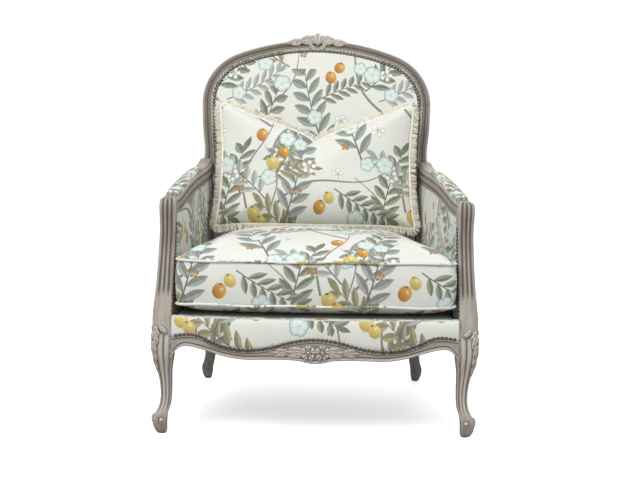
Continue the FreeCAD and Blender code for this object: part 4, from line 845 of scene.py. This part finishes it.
for x, y, angle, size, edge in ((-0.10, 0.26, 10, 0.022, 0.42), (0.21, 0.06, 40, 0.019, 0.42),
                                (-0.22, 0.00, 0, 0.020, 0.40), (0.09, -0.14, 70, 0.021, 0.42),
                                (-0.02, -0.27, 25, 0.018, 0.45), (0.13, 0.24, 55, 0.020, 0.42)):
    inputs = {"Dot": (0.76, 0.76, 0.71), "Edge": (edge, edge, edge * 0.94), "Heart": (0.45, 0.40, 0.26)}
    motifs.append((cluster, x, y, angle, size, inputs))
for x, y, angle, size in ((-0.13, 0.03, 12, 0.0200), (-0.08, -0.03, 50, 0.0225), (0.03, 0.12, 80, 0.0215),
                          (0.18, 0.00, 30, 0.0235), (0.235, -0.06, 5, 0.019), (-0.16, -0.17, 64, 0.0215),
                          (0.11, -0.24, 20, 0.0225), (-0.21, 0.23, 40, 0.0205), (0.06, 0.27, 0, 0.018),
                          (0.145, 0.018, 65, 0.017), (-0.125, -0.185, 20, 0.018), (0.015, -0.13, 33, 0.020)):
    inputs = {"Body": aqua, "Rim": aqua_rim, "Heart": (0.62, 0.50, 0.24)}
    motifs.append((blossom, x, y, angle, size * 1.18, inputs))
for x, y, angle, size, body, shade in (
    (0.06, -0.01, 10, 0.0150, ochre, ochre_dark), (0.085, 0.02, -20, 0.0140, ochre, ochre_dark),
    (-0.20, -0.24, 30, 0.0165, lemon, lemon_dark), (-0.17, -0.21, 0, 0.0140, ochre, ochre_dark),
    (0.19, 0.13, 15, 0.0170, lemon, lemon_dark), (-0.07, 0.15, -15, 0.0155, ochre, ochre_dark),
    (-0.045, 0.175, 20, 0.0135, lemon, lemon_dark), (0.21, -0.16, 0, 0.0150, ochre, ochre_dark),
    (-0.23, 0.11, 25, 0.0140, lemon, lemon_dark),
):
    motifs.append((fruit, x, y, angle, size * 1.1, {"Body": body, "Shade": shade}))
for x, y, angle, size in ((0.00, -0.19, 15, 0.013), (0.15, 0.20, 50, 0.012), (-0.13, 0.19, 80, 0.0125),
                          (-0.02, 0.06, 10, 0.012)):
    inputs = {"Dot": (0.42, 0.22, 0.07), "Edge": (0.20, 0.12, 0.06), "Heart": (0.30, 0.20, 0.08)}
    motifs.append((cluster, x, y, angle, size, inputs))

# The motifs are printed one over the other, each placed in metres within one repeat. A millionth of
# the colour under a motif goes into its place, so that they are worked out in turn.
print_tree, take, give = group_of("leaf_print", [("Place", "v")], [("Color", "c")])
place = take["Place"]
mottle = noise_node(print_tree, place, 13.0, 3.0)
color = mix_node(print_tree, mottle, (0.64, 0.65, 0.595), (0.71, 0.715, 0.665))
for group, x, y, angle, size, inputs in motifs:
    place = vector_node(print_tree, "MULTIPLY_ADD", color, (1e-6, 1e-6, 1e-6), place)
    inputs.update(Centre=(x, y, 0), Angle=angle, Size=size)
    node = use_group(print_tree, group, Place=place, Under=color, **inputs)
    color = node.outputs[0]
print_tree.links.new(color, give["Color"])

weave, take, give = group_of(
    "plain_weave", [("Place", "v"), ("Color", "c"), ("Pitch", "f")], [("Color", "c"), ("Height", "f")]
)
plus, less, times, times_plus = steps_in(weave)
split = weave.nodes.new("ShaderNodeSeparateXYZ")
weave.links.new(take["Place"], split.inputs[0])
turns = math_node(weave, "DIVIDE", math.pi, take["Pitch"])
warp, weft = (math_node(weave, "SINE", times(split.outputs[k], turns)) for k in (0, 1))
slub = plus(*(noise_node(weave, take["Place"], 1.0, 2.0, way) for way in ((900, 60, 60), (60, 900, 60))))
weave.links.new(times_plus(times(warp, weft), 0.5, slub), give["Height"])
weave.links.new(scaled_node(weave, take["Color"], times_plus(slub, 0.16, 0.84)), give["Color"])


def cloth_material(name, plain=None, shift=(0, 0, 0), pitch=0.0009, sheen=0.12):
    """Woven cloth, printed or plain, with its coordinates in metres."""
    material, tree, shader = new_material(name, rough=0.88, sheen=sheen, specular=0.2)
    place = place_of(tree, "object" if plain else "print")
    if plain:
        tinted = mix_node(tree, noise_node(tree, place, 30.0, 3.0), tuple(v * 0.86 for v in plain), plain)
    else:
        moved = vector_node(tree, "ADD", place, shift)
        tinted = use_group(tree, print_tree, Place=moved).outputs["Color"]
    node = use_group(tree, weave, Place=place, Color=tinted, Pitch=pitch)
    tree.links.new(node.outputs["Color"], shader.inputs["Base Color"])
    add_bump(tree, shader, node.outputs["Height"], 0.35, 0.00035)
    return material


def back_edge(inset, low):
    """The edge of the upholstered back, anticlockwise from its lower right corner."""
    right_side = [(283, low), (283, low + 40), (283, 0), (283, 60), (286.5, 130), (291, 215), (297, 300),
                  (301, 374.2)]
    keys = [np.linalg.norm(np.array(p) - right_side[0]) for p in right_side]
    rows = [(key, spot[0], spot[1]) for key, spot in zip(keys, right_side)]
    straight = through(rows, np.linspace(0, keys[-1], 70))[:-1, 1:]
    curve, outs = arch_path(29)
    path = np.concatenate([straight, curve, straight[::-1] * (-1, 1)])
    base = np.stack([np.linspace(-283, 283, 72)[1:-1], np.full(70, float(low))], axis=1)
    path = np.concatenate([path, base])
    ahead = np.roll(path, -1, axis=0) - np.roll(path, 1, axis=0)
    ahead /= np.linalg.norm(ahead, axis=1)[:, None]
    return path - np.stack([ahead[:, 1], -ahead[:, 0]], axis=1) * inset


def panel(name, edge, centre, heights, thick, map_to, material):
    """A crowned panel inside an edge: rings drawn in to the centre, closed behind."""
    rear = heights[0][1] - thick
    rings = []
    for share, high in [(0.02, rear), (1.0, rear)] + heights:
        ring_at = centre + (edge - centre) * share
        rings.append(np.column_stack([ring_at, np.full(len(edge), float(high))]))
    flat = np.array(rings)
    points = map_to(flat[..., 0], flat[..., 1], flat[..., 2])
    return skin(name, points, uv=flat[..., :2] / 1000, material=material)


def crown_of(edge_high, top, power=2.4):
    """Heights from the edge to the centre of a stuffed panel, over a small tuck at its edge."""
    foot = edge_high + 2.5
    swell = [(1 - t * 0.985, foot + (top - foot) * (1 - (1 - t) ** power)) for t in np.linspace(0.03, 1, 15)]
    return [(1.0, edge_high), (0.996, foot)] + swell


back_middle, back_low = np.array([[0.0, 190.0]]), -158
print_on_back = cloth_material("printed_linen_back", shift=(0.02, 0.05, 0))
inside_edge = back_edge(-3.5, back_low)
inside_back = panel(
    "inside_back_cloth", inside_edge, back_middle, crown_of(-4, 11), 26, on_back, print_on_back
)
settle(inside_back, "chair_frame", "print_cloth", "inside_back_pad", "inside_back_cover")


def nail_row(name, points, normals, radius=0.0060, rise=0.0040):
    """Domed nails standing on a surface, in one mesh, their rims sunk a little."""
    verts, faces = [], []
    steps, around, sunk = 4, 10, 0.0004
    for point, normal in zip(points, normals):
        point, normal = Vector(point), Vector(normal).normalized()
        side = normal.orthogonal().normalized()
        other = normal.cross(side)
        first = len(verts)
        for step in range(steps):
            way = step / steps * math.pi / 2
            for k in range(around):
                spin = 2 * math.pi * k / around
                flat = side * math.cos(spin) + other * math.sin(spin)
                verts.append(point + flat * radius * math.cos(way) + normal * (rise * math.sin(way) - sunk))
        verts += [point + normal * (rise - sunk), point - normal * 0.0015]
        top = first + (steps - 1) * around
        for k in range(around):
            after = (k + 1) % around
            for low in range(first, top, around):
                faces.append((low + k, low + after, low + after + around, low + k + around))
            faces += [(top + k, top + after, len(verts) - 2), (first + after, first + k, len(verts) - 1)]
    return mesh_piece(name, verts, faces, pewter, smooth=(3, 4))


pewter, tree, shader = new_material("pewter_nails", metallic=0.85)
tarnish = noise_node(tree, place_of(tree, "object"), 160.0, 2.0)
metal = mix_node(tree, tarnish, (0.045, 0.040, 0.034), (0.30, 0.27, 0.235))
tree.links.new(metal, shader.inputs["Base Color"])
tree.links.new(math_node(tree, "MULTIPLY_ADD", tarnish, 0.25, 0.28), shader.inputs["Roughness"])
add_bump(tree, shader, noise_node(tree, place_of(tree, "object"), 700.0, 2.0), 0.2, 0.0002)


def spaced(path, step):
    """Points every so many millimetres along a path."""
    path = np.array(path, float)
    length = run_along(path)
    count = int(length[-1] // step)
    at = (length[-1] - count * step) / 2 + np.arange(count + 1) * step
    return np.stack([np.interp(at, length, path[:, k]) for k in range(path.shape[1])], axis=1)


NAIL_PITCH = 10.2


edge = back_edge(4.5, back_low)
edge = edge[edge[:, 1] > 60]
start = int(np.argmin(edge[:, 1] + (edge[:, 0] < 0) * 1000))
nail_at = spaced(np.roll(edge, -start, axis=0), NAIL_PITCH)
normal = on_back(0, 0, 1) - on_back(0, 0, 0)
nail_at = on_back(nail_at[:, 0], nail_at[:, 1], -1.0)
back_nails = nail_row("inside_back_nails", nail_at, [normal] * len(nail_at))
settle(back_nails, "chair_frame", "nail", "inside_back_nail_strip")

# Outside back: a flat panel of the same cloth, stretched over the rear of the frame down to the back
# seat rail, with a sewn edge.
print_outside = cloth_material("printed_linen_outside", shift=(0.31, 0.22, 0))
rear_heights = [(1.0, 34.5), (0.992, 37.6), (0.96, 38.6), (0.8, 39.6), (0.5, 40.4), (0.2, 40.8),
                (0.02, 41.0)]


def behind_back(across, slope, out):
    return on_back(across, slope, -out)


rear_edge = back_edge(0.5, -182)
outside_back = panel(
    "outside_back_cloth", rear_edge, back_middle, rear_heights, 2, behind_back, print_outside
)
settle(outside_back, "chair_frame", "print_cloth", "outside_back_cover")


# Inside and outside arms: closed panels between the post, the arm, the back post and the rail, the
# inner one stuffed and the outer one flat. Small nails run down the post beside the inner one.
def arm_place(across, back_across):
    """A way from an arm's own place, along, up and out in millimetres, to metres in space."""
    swing = math.atan((across - back_across) / 540)

    def to_space(along, up_at, out):
        along, up_at, out = np.broadcast_arrays(along, up_at, out)
        x = across + out * math.cos(swing) - along * math.sin(swing)
        y = -300 + out * math.sin(swing) + along * math.cos(swing)
        return np.stack([x, y, up_at], axis=-1) / 1000
    return to_space


arm_outline = [(-40, 264), (534, 264), (536, 380), (550, 465), (572, 560), (580, 602), (440, 595),
               (345, 587), (250, 575), (160, 561), (85, 547), (50, 538),
               (0, 531), (-12, 440), (-26, 340), (-40, 264)]
arm_edge = spaced(arm_outline, 14)[:-1]
arm_middle = np.array([[265.0, 415.0]])
inner_place = arm_place(345.5, 300)
inner_heights = [(share, -high) for share, high in crown_of(0, 9, power=3.0)]
print_arms = cloth_material("printed_linen_arms", shift=(0.11, 0.03, 0))
inside_arm = panel(
    "inside_arm_cloth_right", arm_edge, arm_middle, inner_heights, -13, inner_place, print_arms
)
inside_arm_left = both_sides(inside_arm, "print_cloth", "inside_arm")
for corner in inside_arm_left.data.uv_layers["print"].data:
    corner.uv = (0.83 - corner.uv[0], corner.uv[1] + 0.17)
outer_place = arm_place(372, 318)
outer_heights = [(1.0, 0.6), (0.99, 3.0), (0.95, 3.9), (0.8, 4.6), (0.5, 5.2), (0.2, 5.4), (0.02, 5.4)]
outside_arm = panel(
    "outside_arm_cloth_right", arm_edge, arm_middle, outer_heights, 2, outer_place, print_outside
)
outside_arm_left = both_sides(outside_arm, "print_cloth", "outside_arm")
beside_post = through(post_rows, np.arange(300, 510, 8.8)) / 1000
nail_at = np.stack([beside_post[:, 1] - beside_post[:, 3] / 2 - 0.001,
                    beside_post[:, 2] - beside_post[:, 4] / 2 + 0.010, beside_post[:, 0]], axis=1)
nail_ways = [(-0.8, -0.6, 0)] * len(nail_at)
post_nails = nail_row("post_nails_right", nail_at, nail_ways, radius=0.0042, rise=0.003)
both_sides(post_nails, "nail")

# Arm pads: domed rests of the printed cloth let into the tops of the arms, with a cord at their edge.
pad_rows = [
    (-266, 356.3, 567, 12, 8), (-262, 356, 567, 24, 16), (-252, 355.4, 567.5, 31, 23),
    (-238, 354.6, 569, 34, 26), (-195, 351, 575, 35, 27),
    (-140, 347, 585, 35, 28), (-50, 339.2, 599.5, 34, 28), (45, 331.4, 611, 33, 27),
    (110, 326, 617, 31, 25), (130, 324.5, 618.5, 26, 19),
    (140, 324, 619, 13, 9),
]
pad_spots = [np.linspace(-266, -238, 12), np.linspace(-230, 104, 44), np.linspace(110, 140, 10)]
pad_spots = np.concatenate(pad_spots)
points, local, _ = fore_and_aft(pad_rows, pad_spots, [], 1.0, 2.8, 12)
uv = np.stack([local[..., 0] * 1.5 - 0.230, points[..., 1]], axis=2)
arm_pad = skin("arm_pad_cloth_right", points, uv=uv, material=print_arms)
arm_pad_left = both_sides(arm_pad, "print_cloth", "arm_pad")

# Seat platform: a plain stuffed deck hidden under the cushion, and a border of the printed cloth that
# comes down over its front edge to the nails along the wood line.
lining = cloth_material("plain_lining", plain=(0.68, 0.67, 0.62))
half = [(0, -386), (120, -384), (220, -379.5), (325, -370), (332, -340), (336, -282), (298, 195),
        (150, 195.5), (0, 196)]
deck_edge = spaced(half + [(-x, y) for x, y in reversed(half[:-1])], 16)[:-1]


def flat_place(x, y, z):
    return np.stack(np.broadcast_arrays(x, y, z), axis=-1) / 1000


deck_heights = [(1.0, 279.0), (0.995, 283.0), (0.98, 284.6), (0.9, 285.0), (0.5, 285.2), (0.02, 285.2)]
deck = panel("seat_deck", deck_edge, np.array([[0.0, -95.0]]), deck_heights, 14.4, flat_place, lining)
settle(deck, "chair_frame", "lining", "deck_pad", "deck_cover")
border_x = np.linspace(-343, 343, 150)
border_low = through(wood_line, border_x)[:, 1:2]
face_y = rail_front(border_x)[:, None]
share = np.array([[0, 0.25, 0.5, 0.75, 0.92]])
bulge = np.array([[0.2, 2.4, 3.2, 2.4, 0.6]])
face_z = border_low - 3 + (281 - border_low + 3) * share
over = np.array([[2.5, 6.0, 14.0, 30.0]])
over_z = np.array([[284.0, 285.8, 286.6, 286.4]])
row_y = np.concatenate([face_y - bulge, face_y + over], axis=1)
row_z = np.concatenate([face_z, np.broadcast_to(over_z, (150, 4))], axis=1)
inner_y = np.concatenate([face_y + over[:, ::-1] + 1.5, face_y + 2.0 + 0 * bulge], axis=1)
inner_z = np.concatenate([np.broadcast_to(over_z[:, ::-1] - 1.8, (150, 4)), face_z[:, ::-1]], axis=1)
row_y, row_z = np.concatenate([row_y, inner_y], axis=1), np.concatenate([row_z, inner_z], axis=1)
row_x = np.broadcast_to(border_x[:, None], row_y.shape)
uv = np.stack([row_x, row_z - row_y * (row_z > 284)], axis=2) / 1000
print_seat = cloth_material("printed_linen_seat", shift=(0.07, 0.36, 0))
points = np.stack([row_x, row_y, row_z], axis=2) / 1000
border = skin("front_border_cloth", points, uv=uv, material=print_seat)
settle(border, "chair_frame", "print_cloth", "front_border")
nail_x = np.linspace(-334, 334, 260)
nail_line = np.stack([nail_x, rail_front(nail_x) + 0.2, through(wood_line, nail_x)[:, 1] + 3.6], axis=1)
nail_at = spaced(nail_line, NAIL_PITCH) / 1000
nail_ways = [(2 * RAIL_BOW * 1000 * x / HALF_RAIL**2, -1, 0) for x, _, _ in nail_at]
front_nails = nail_row("front_rail_nails", nail_at, nail_ways)
settle(front_nails, "chair_frame", "nail", "front_nail_strip")


# Loose seat cushion: feather and foam in a boxed cover, its top crowned high, its front bowed with
# the rail, and a cord of the same cloth sewn into both edges. The cloth is blown out by simulation.
def whole_outline(right_half, count):
    """A closed outline of even steps from its right-hand half."""
    whole = np.concatenate([right_half, right_half[::-1][1:-1] * (-1, 1), right_half[:1]])
    length = run_along(whole)
    at = np.linspace(0, length[-1], count, endpoint=False)
    return np.stack([np.interp(at, length, whole[:, k]) for k in (0, 1)], axis=1)


def cushion_plan(inset, bow=1.0):
    """The cushion's outline in plan, anticlockwise from the middle of its front."""
    front, rear = 333 - inset, 292 - inset
    y_front, y_rear = -368 + inset, 160 - inset
    x = np.linspace(0, front - 30, 60)
    lead = np.stack([x, y_front - 21 * bow * (1 - (x / front) ** 2)], axis=1)
    a = np.radians(np.linspace(-84, -4, 14))
    start_y = y_front - 21 * bow * (1 - ((front - 30) / front) ** 2)
    corner = np.stack([front - 30 + 30 * np.cos(a) ** 0.8, start_y + 30 + 30 * np.sin(a)], axis=1)
    t = np.linspace(0.06, 0.94, 40)[:, None]
    side = np.array([[front, y_front + 24]]) * (1 - t) + np.array([[rear, y_rear - 26]]) * t
    side[:, 0] -= 3.0 * np.sin(np.pi * t[:, 0])
    b = np.radians(np.linspace(4, 86, 12))
    heel = np.stack([rear - 26 + 26 * np.cos(b), y_rear - 26 + 26 * np.sin(b)], axis=1)
    tail = np.stack([np.linspace(rear - 30, 0, 40), np.full(40, y_rear)], axis=1)
    return whole_outline(np.concatenate([lead, corner, side, heel, tail]), 360)


def apply_modifier(piece, kind, **settings):
    """Adds a modifier to a piece and makes it part of its mesh."""
    modifier = piece.modifiers.new(kind.lower(), kind)
    for title, value in settings.items():
        setattr(modifier, title, value)
    bpy.context.view_layer.objects.active = piece
    bpy.ops.object.modifier_apply(modifier=modifier.name)


def blow_out(piece, held, pressure, most, frames=20):
    """Remeshes a stuffed form and lets the pressure of its filling shape the cloth, which moves by
    no more than a given distance."""
    apply_modifier(piece, "REMESH", mode="VOXEL", voxel_size=0.006)
    before = np.array([v.co for v in piece.data.vertices])
    pins = piece.vertex_groups.new(name="sewn")
    for index, share in enumerate(held(before)):
        if share > 0.01:
            pins.add([index], float(share), "REPLACE")
    cloth = piece.modifiers.new("cloth", "CLOTH")
    cloth.settings.quality = 4
    cloth.settings.mass = 0.3
    cloth.settings.tension_stiffness = 12
    cloth.settings.compression_stiffness = 12
    cloth.settings.bending_stiffness = 1.5
    cloth.settings.use_pressure = True
    cloth.settings.uniform_pressure_force = pressure
    cloth.settings.vertex_group_mass = "sewn"
    cloth.settings.effector_weights.gravity = 0
    cloth.point_cache.frame_start = 1
    cloth.point_cache.frame_end = frames
    for frame_number in range(1, frames + 1):
        bpy.context.scene.frame_set(frame_number)
    bpy.ops.object.modifier_apply(modifier=cloth.name)
    bpy.context.scene.frame_set(1)
    moved = np.array([v.co for v in piece.data.vertices]) - before
    far = np.linalg.norm(moved, axis=1)[:, None]
    after = before + moved * np.minimum(1, most / np.maximum(far, 1e-9))
    piece.data.vertices.foreach_set("co", after.ravel())
    apply_modifier(piece, "SUBSURF", levels=1, render_levels=1)


def seam_tube(name, path, radius, material):
    """A sewn cord along a closed path."""
    ahead = np.roll(path, -1, axis=0) - np.roll(path, 1, axis=0)
    ahead /= np.linalg.norm(ahead, axis=1)[:, None]
    across = np.cross(ahead, (0.0, 0.0, 1.0))
    across /= np.linalg.norm(across, axis=1)[:, None]
    third = np.cross(across, ahead)
    spin = np.linspace(0, 2 * np.pi, 10, endpoint=False)
    ring = across[:, None] * np.cos(spin)[None, :, None] + third[:, None] * np.sin(spin)[None, :, None]
    loop = path[:, None] + radius * ring
    loop = np.concatenate([loop, loop[:1]])
    run = run_along(np.concatenate([path, path[:1]]))
    uv = np.stack(np.broadcast_arrays(run[:, None], spin * radius), axis=2)
    return skin(name, loop, caps=False, uv=uv, material=material)


cushion_levels = [
    (287.4, 118, 0.3), (288.6, 92, 0.5), (292.5, 62, 0.7), (299, 33, 0.85), (307, 13, 0.95), (316, 0, 1.0),
    (318, 0, 1.0), (332, -2.5, 1.0), (350, -4, 1.0), (370, -4.5, 1.0), (390, -4, 1.0), (408, -2.5, 1.0),
    (419, 0, 1.0), (421, 0, 1.0), (427, 6, 1.0), (436, 17, 0.95), (446, 34, 0.9), (456, 60, 0.75),
    (464, 92, 0.6), (470, 128, 0.5), (474, 170, 0.3), (476, 220, 0.1),
]
rings = []
for z, inset, bow in cushion_levels:
    outline = cushion_plan(inset, bow)
    rings.append(np.column_stack([outline, np.full(len(outline), float(z))]))
cushion = skin("seat_cushion_cloth", np.array(rings) / 1000)
seam_low, seam_high = 0.316, 0.421


def held_at_seams(co):
    """The two seams are fixed, and the underside gives a little as it lies on the platform."""
    near = np.minimum(np.abs(co[:, 2] - seam_low), np.abs(co[:, 2] - seam_high))
    inner = np.abs(co[:, 0]) < 0.333 - 0.041 * np.clip((co[:, 1] + 0.368) / 0.528, 0, 1) - 0.03
    deep = inner & (co[:, 1] > -0.35) & (co[:, 1] < 0.13)
    at_seam = ~deep & (np.clip(1 - near / 0.006, 0, 1) > 0.3)
    return at_seam * 1.0 + (co[:, 2] < 0.2885) * 0.999


blow_out(cushion, held_at_seams, 4.0, 0.011)


def lay_print(piece, face_uv, about):
    """Lays the print on a remeshed form, each corner by its point and its face's middle or normal."""
    mesh = piece.data
    co = np.array([v.co for v in mesh.vertices])
    uv = np.zeros((len(mesh.loops), 2), np.float32)
    for polygon in mesh.polygons:
        known = getattr(polygon, about)
        for loop_index in polygon.loop_indices:
            uv[loop_index] = face_uv(co[mesh.loops[loop_index].vertex_index], known)
    mesh.uv_layers.new(name="print").data.foreach_set("uv", uv.ravel())
    mesh.polygons.foreach_set("use_smooth", [True] * len(mesh.polygons))


def cushion_uv(point, middle):
    if middle[2] > seam_high:
        return point[0], point[1] + 0.04
    if middle[2] < seam_low:
        return point[0] + 0.2, -point[1] * 0.4 + point[2] + 0.3
    half = 0.333 - 0.041 * (middle[1] + 0.368) / 0.528
    if abs(middle[0]) > half - 0.022 and middle[1] > -0.362:
        return math.copysign(0.333 + point[1] + 0.368, middle[0]), point[2] - 0.30
    return point[0], point[2] - 0.30


print_cushion = cloth_material("printed_linen_cushion", shift=(0.16, 0.10, 0))
lay_print(cushion, cushion_uv, "center")
cushion.data.materials.append(print_cushion)
settle(cushion, "seat_cushion", "print_cloth", "cushion_core", "cushion_cover")
for name, z in (("bottom", seam_low), ("top", seam_high)):
    plan = cushion_plan(-1.5) / 1000
    wobble = 0.0012 * np.sin(plan[:, 0] * 31 + z * 90) + 0.0008 * np.sin(plan[:, 1] * 47 + plan[:, 0] * 12)
    path = np.concatenate([plan, (z + wobble)[:, None]], axis=1)
    welt = seam_tube("cushion_welt_cloth_" + name, path, 0.0034, print_cushion)
    settle(welt, "seat_cushion", "print_cloth", "cushion_welt_" + name)


# Loose pillow: a feather pillow stood on its edge against the back, its top edge chopped in by hand,
# with a cream brush fringe sewn into the seam.
PILLOW_Y, PILLOW_Z, PILLOW_TIP = 187, 631.5, math.radians(14)


def on_pillow(across, slope, out):
    """Millimetres across, up the tipped pillow and out from its seam, as metres in space."""
    across, slope, out = np.broadcast_arrays(np.asarray(across, float), slope, out)
    y = PILLOW_Y + slope * math.sin(PILLOW_TIP) - out * math.cos(PILLOW_TIP)
    z = PILLOW_Z + slope * math.cos(PILLOW_TIP) + out * math.sin(PILLOW_TIP)
    return np.stack([across, y, z], axis=-1) / 1000


# The pillow's seam, anticlockwise from the middle of its bottom edge.
base = [(0, -161), (90, -160.5), (180, -161), (240, -164), (262, -167), (272, -168)]
side = [(-162, 275), (-150, 272), (-110, 266), (-60, 262), (0, 260), (67, 261), (120, 265), (150, 268),
        (172, 269)]
top = [(0, 70), (6, 73), (22, 84), (50, 98), (80, 110), (110, 120), (150, 134), (195, 151), (235, 168),
       (262, 178)]
base = through(base, np.linspace(0, 272, 50))
side = through(side, np.linspace(-162, 172, 60))
top = through(top, np.linspace(0, 262, 60))


edge = whole_outline(np.concatenate([base, side[:, ::-1], top[::-1]]), 420)
middle = np.array([[0.0, -25.0]])
rings = []
for front_side in (-1, 1):
    shares = [0.03, 0.12, 0.24, 0.36, 0.48, 0.6, 0.7, 0.79, 0.86, 0.92, 0.96, 0.985, 1.0]
    shares = shares if front_side < 0 else shares[::-1]
    for share in shares:
        flat = middle + (edge - middle) * share
        high = 5.0 + 52.0 * (1 - share**2.6) ** 0.75
        dent = 1 - 0.42 * np.exp(-(flat[:, 0] / 42) ** 2) * np.clip((flat[:, 1] + 40) / 110, 0, 1) ** 1.3
        rings.append(np.concatenate([flat, (front_side * high * dent)[:, None]], axis=1))
flat = np.array(rings)
pillow = skin("pillow_cloth", on_pillow(flat[..., 0], flat[..., 1], flat[..., 2]))
from_edge = edge / 1000


def pillow_local(co):
    """Points in space as metres across, up the pillow and out from its seam."""
    y, z = co[:, 1] - PILLOW_Y / 1000, co[:, 2] - PILLOW_Z / 1000
    slope = y * math.sin(PILLOW_TIP) + z * math.cos(PILLOW_TIP)
    return np.stack([co[:, 0], slope, -y * math.cos(PILLOW_TIP) + z * math.sin(PILLOW_TIP)], axis=1)


def held_at_edge(co):
    local = pillow_local(co)
    near = np.array([np.min(np.hypot(*(from_edge - p[:2]).T)) for p in local])
    return np.where((near < 0.006) & (np.abs(local[:, 2]) < 0.009), 1.0, 0.0)


blow_out(pillow, held_at_edge, 3.2, 0.009)


def pillow_uv(point, normal):
    slope = pillow_local(point[None])[0, 1]
    return (point[0], slope) if normal[1] < 0 else (0.3 - point[0], slope + 0.2)


lay_print(pillow, pillow_uv, "normal")
pillow.data.materials.append(cloth_material("printed_linen_pillow", shift=(0.36, 0.27, 0)))
settle(pillow, "pillow", "print_cloth", "pillow_insert", "pillow_cover")

cream, tree, shader = new_material("cream_fringe", rough=0.85, sheen=0.2, specular=0.2)
tuft = noise_node(tree, place_of(tree, "object"), 240.0, 2.0)
broad = noise_node(tree, place_of(tree, "object"), 25.0, 2.0)
lit = math_node(tree, "MULTIPLY_ADD", tuft, 1.6, -0.3, clamp=True)
yarn = mix_node(tree, lit, (0.68, 0.64, 0.53), (0.91, 0.89, 0.81))
yarn = mix_node(tree, math_node(tree, "MULTIPLY", broad, 0.22), yarn, (0.72, 0.66, 0.53))
tree.links.new(yarn, shader.inputs["Base Color"])
add_bump(tree, shader, tuft, 0.4, 0.0006)
random.seed(41)
closed_edge = np.concatenate([edge, edge[:1]])
length = run_along(closed_edge)
ahead = np.roll(edge, -3, axis=0) - np.roll(edge, 3, axis=0)
ahead /= np.linalg.norm(ahead, axis=1)[:, None]
outs = np.stack([ahead[:, 1], -ahead[:, 0]], axis=1)
verts, faces = [], []
strands = 2800
for count in range(strands):
    at = (count + random.uniform(-0.3, 0.3)) / strands * length[-1]
    spot = np.array([np.interp(at, length, closed_edge[:, k]) for k in (0, 1)])
    index = int(np.searchsorted(length, at % length[-1])) % len(edge)
    out_way = outs[index]
    lean_by = 0.15 * math.sin(at / 3.1) + random.uniform(-0.28, 0.28)
    lay = math.cos(lean_by) * out_way + math.sin(lean_by) * np.array([-out_way[1], out_way[0]])
    reach = random.uniform(19.0, 23.5)
    lift = random.uniform(-4.5, 4.5)
    thick = random.uniform(0.65, 1.0)
    first = len(verts)
    for step, (t, wide) in enumerate(((0, 1.0), (0.45, 1.15), (0.85, 0.9), (1.0, 0.35))):
        sag = -1.8 * t * t
        centre = spot + lay * (reach * t - 1.5)
        for k in range(3):
            spin = 2 * math.pi * k / 3
            across = centre + np.array([-lay[1], lay[0]]) * thick * wide * math.cos(spin)
            high = lift * (1 + 0.25 * t) + thick * wide * math.sin(spin)
            verts.append(tuple(on_pillow(across[0], across[1] + sag, high)))
    for step in range(3):
        for k in range(3):
            a, b = first + step * 3 + k, first + step * 3 + (k + 1) % 3
            faces.append((a, b, b + 3, a + 3))
    faces += [(first + 2, first + 1, first), (first + 9, first + 10, first + 11)]
fringe = mesh_piece("pillow_brush_fringe", verts, faces, cream, smooth=())
outward(fringe)
settle(fringe, "pillow", "fringe", "pillow_fringe")
heading_path = on_pillow(edge[:, 0] + outs[:, 0] * 1.5, edge[:, 1] + outs[:, 1] * 1.5, 0.0)
heading = seam_tube("pillow_fringe_heading", heading_path, 0.0042, cream)
settle(heading, "pillow", "fringe")

# What the cover hides: raw hardwood rails and corner blocks, jute webbing, a black cambric dust cover
# under the seat, and a nail-on glide under each foot.
raw_wood = wood_material("raw_hardwood", "object")
jute = cloth_material("jute_webbing", plain=(0.42, 0.31, 0.17), pitch=0.003)
cambric = cloth_material("black_cambric", plain=(0.018, 0.018, 0.020), pitch=0.0012, sheen=0.05)
nylon, tree, shader = new_material("glide_nylon", rough=0.4)
scuff = noise_node(tree, place_of(tree, "object"), 300.0, 3.0)
tree.links.new(mix_node(tree, scuff, (0.02, 0.018, 0.016), (0.07, 0.065, 0.06)), shader.inputs["Base Color"])
add_bump(tree, shader, scuff, 0.2, 0.0003)
for material, names in (
    (raw_wood, ("back_seat_rail", "back_bottom_rail", "corner_block_front_left", "corner_block_front_right",
                "corner_block_back_left", "corner_block_back_right")),
    (jute, ("seat_webbing", "back_webbing")),
    (cambric, ("dust_cover",)),
    (nylon, ("foot_glides",)),
):
    for name in names:
        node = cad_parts[name]
        node.data.materials.clear()
        node.data.materials.append(material)
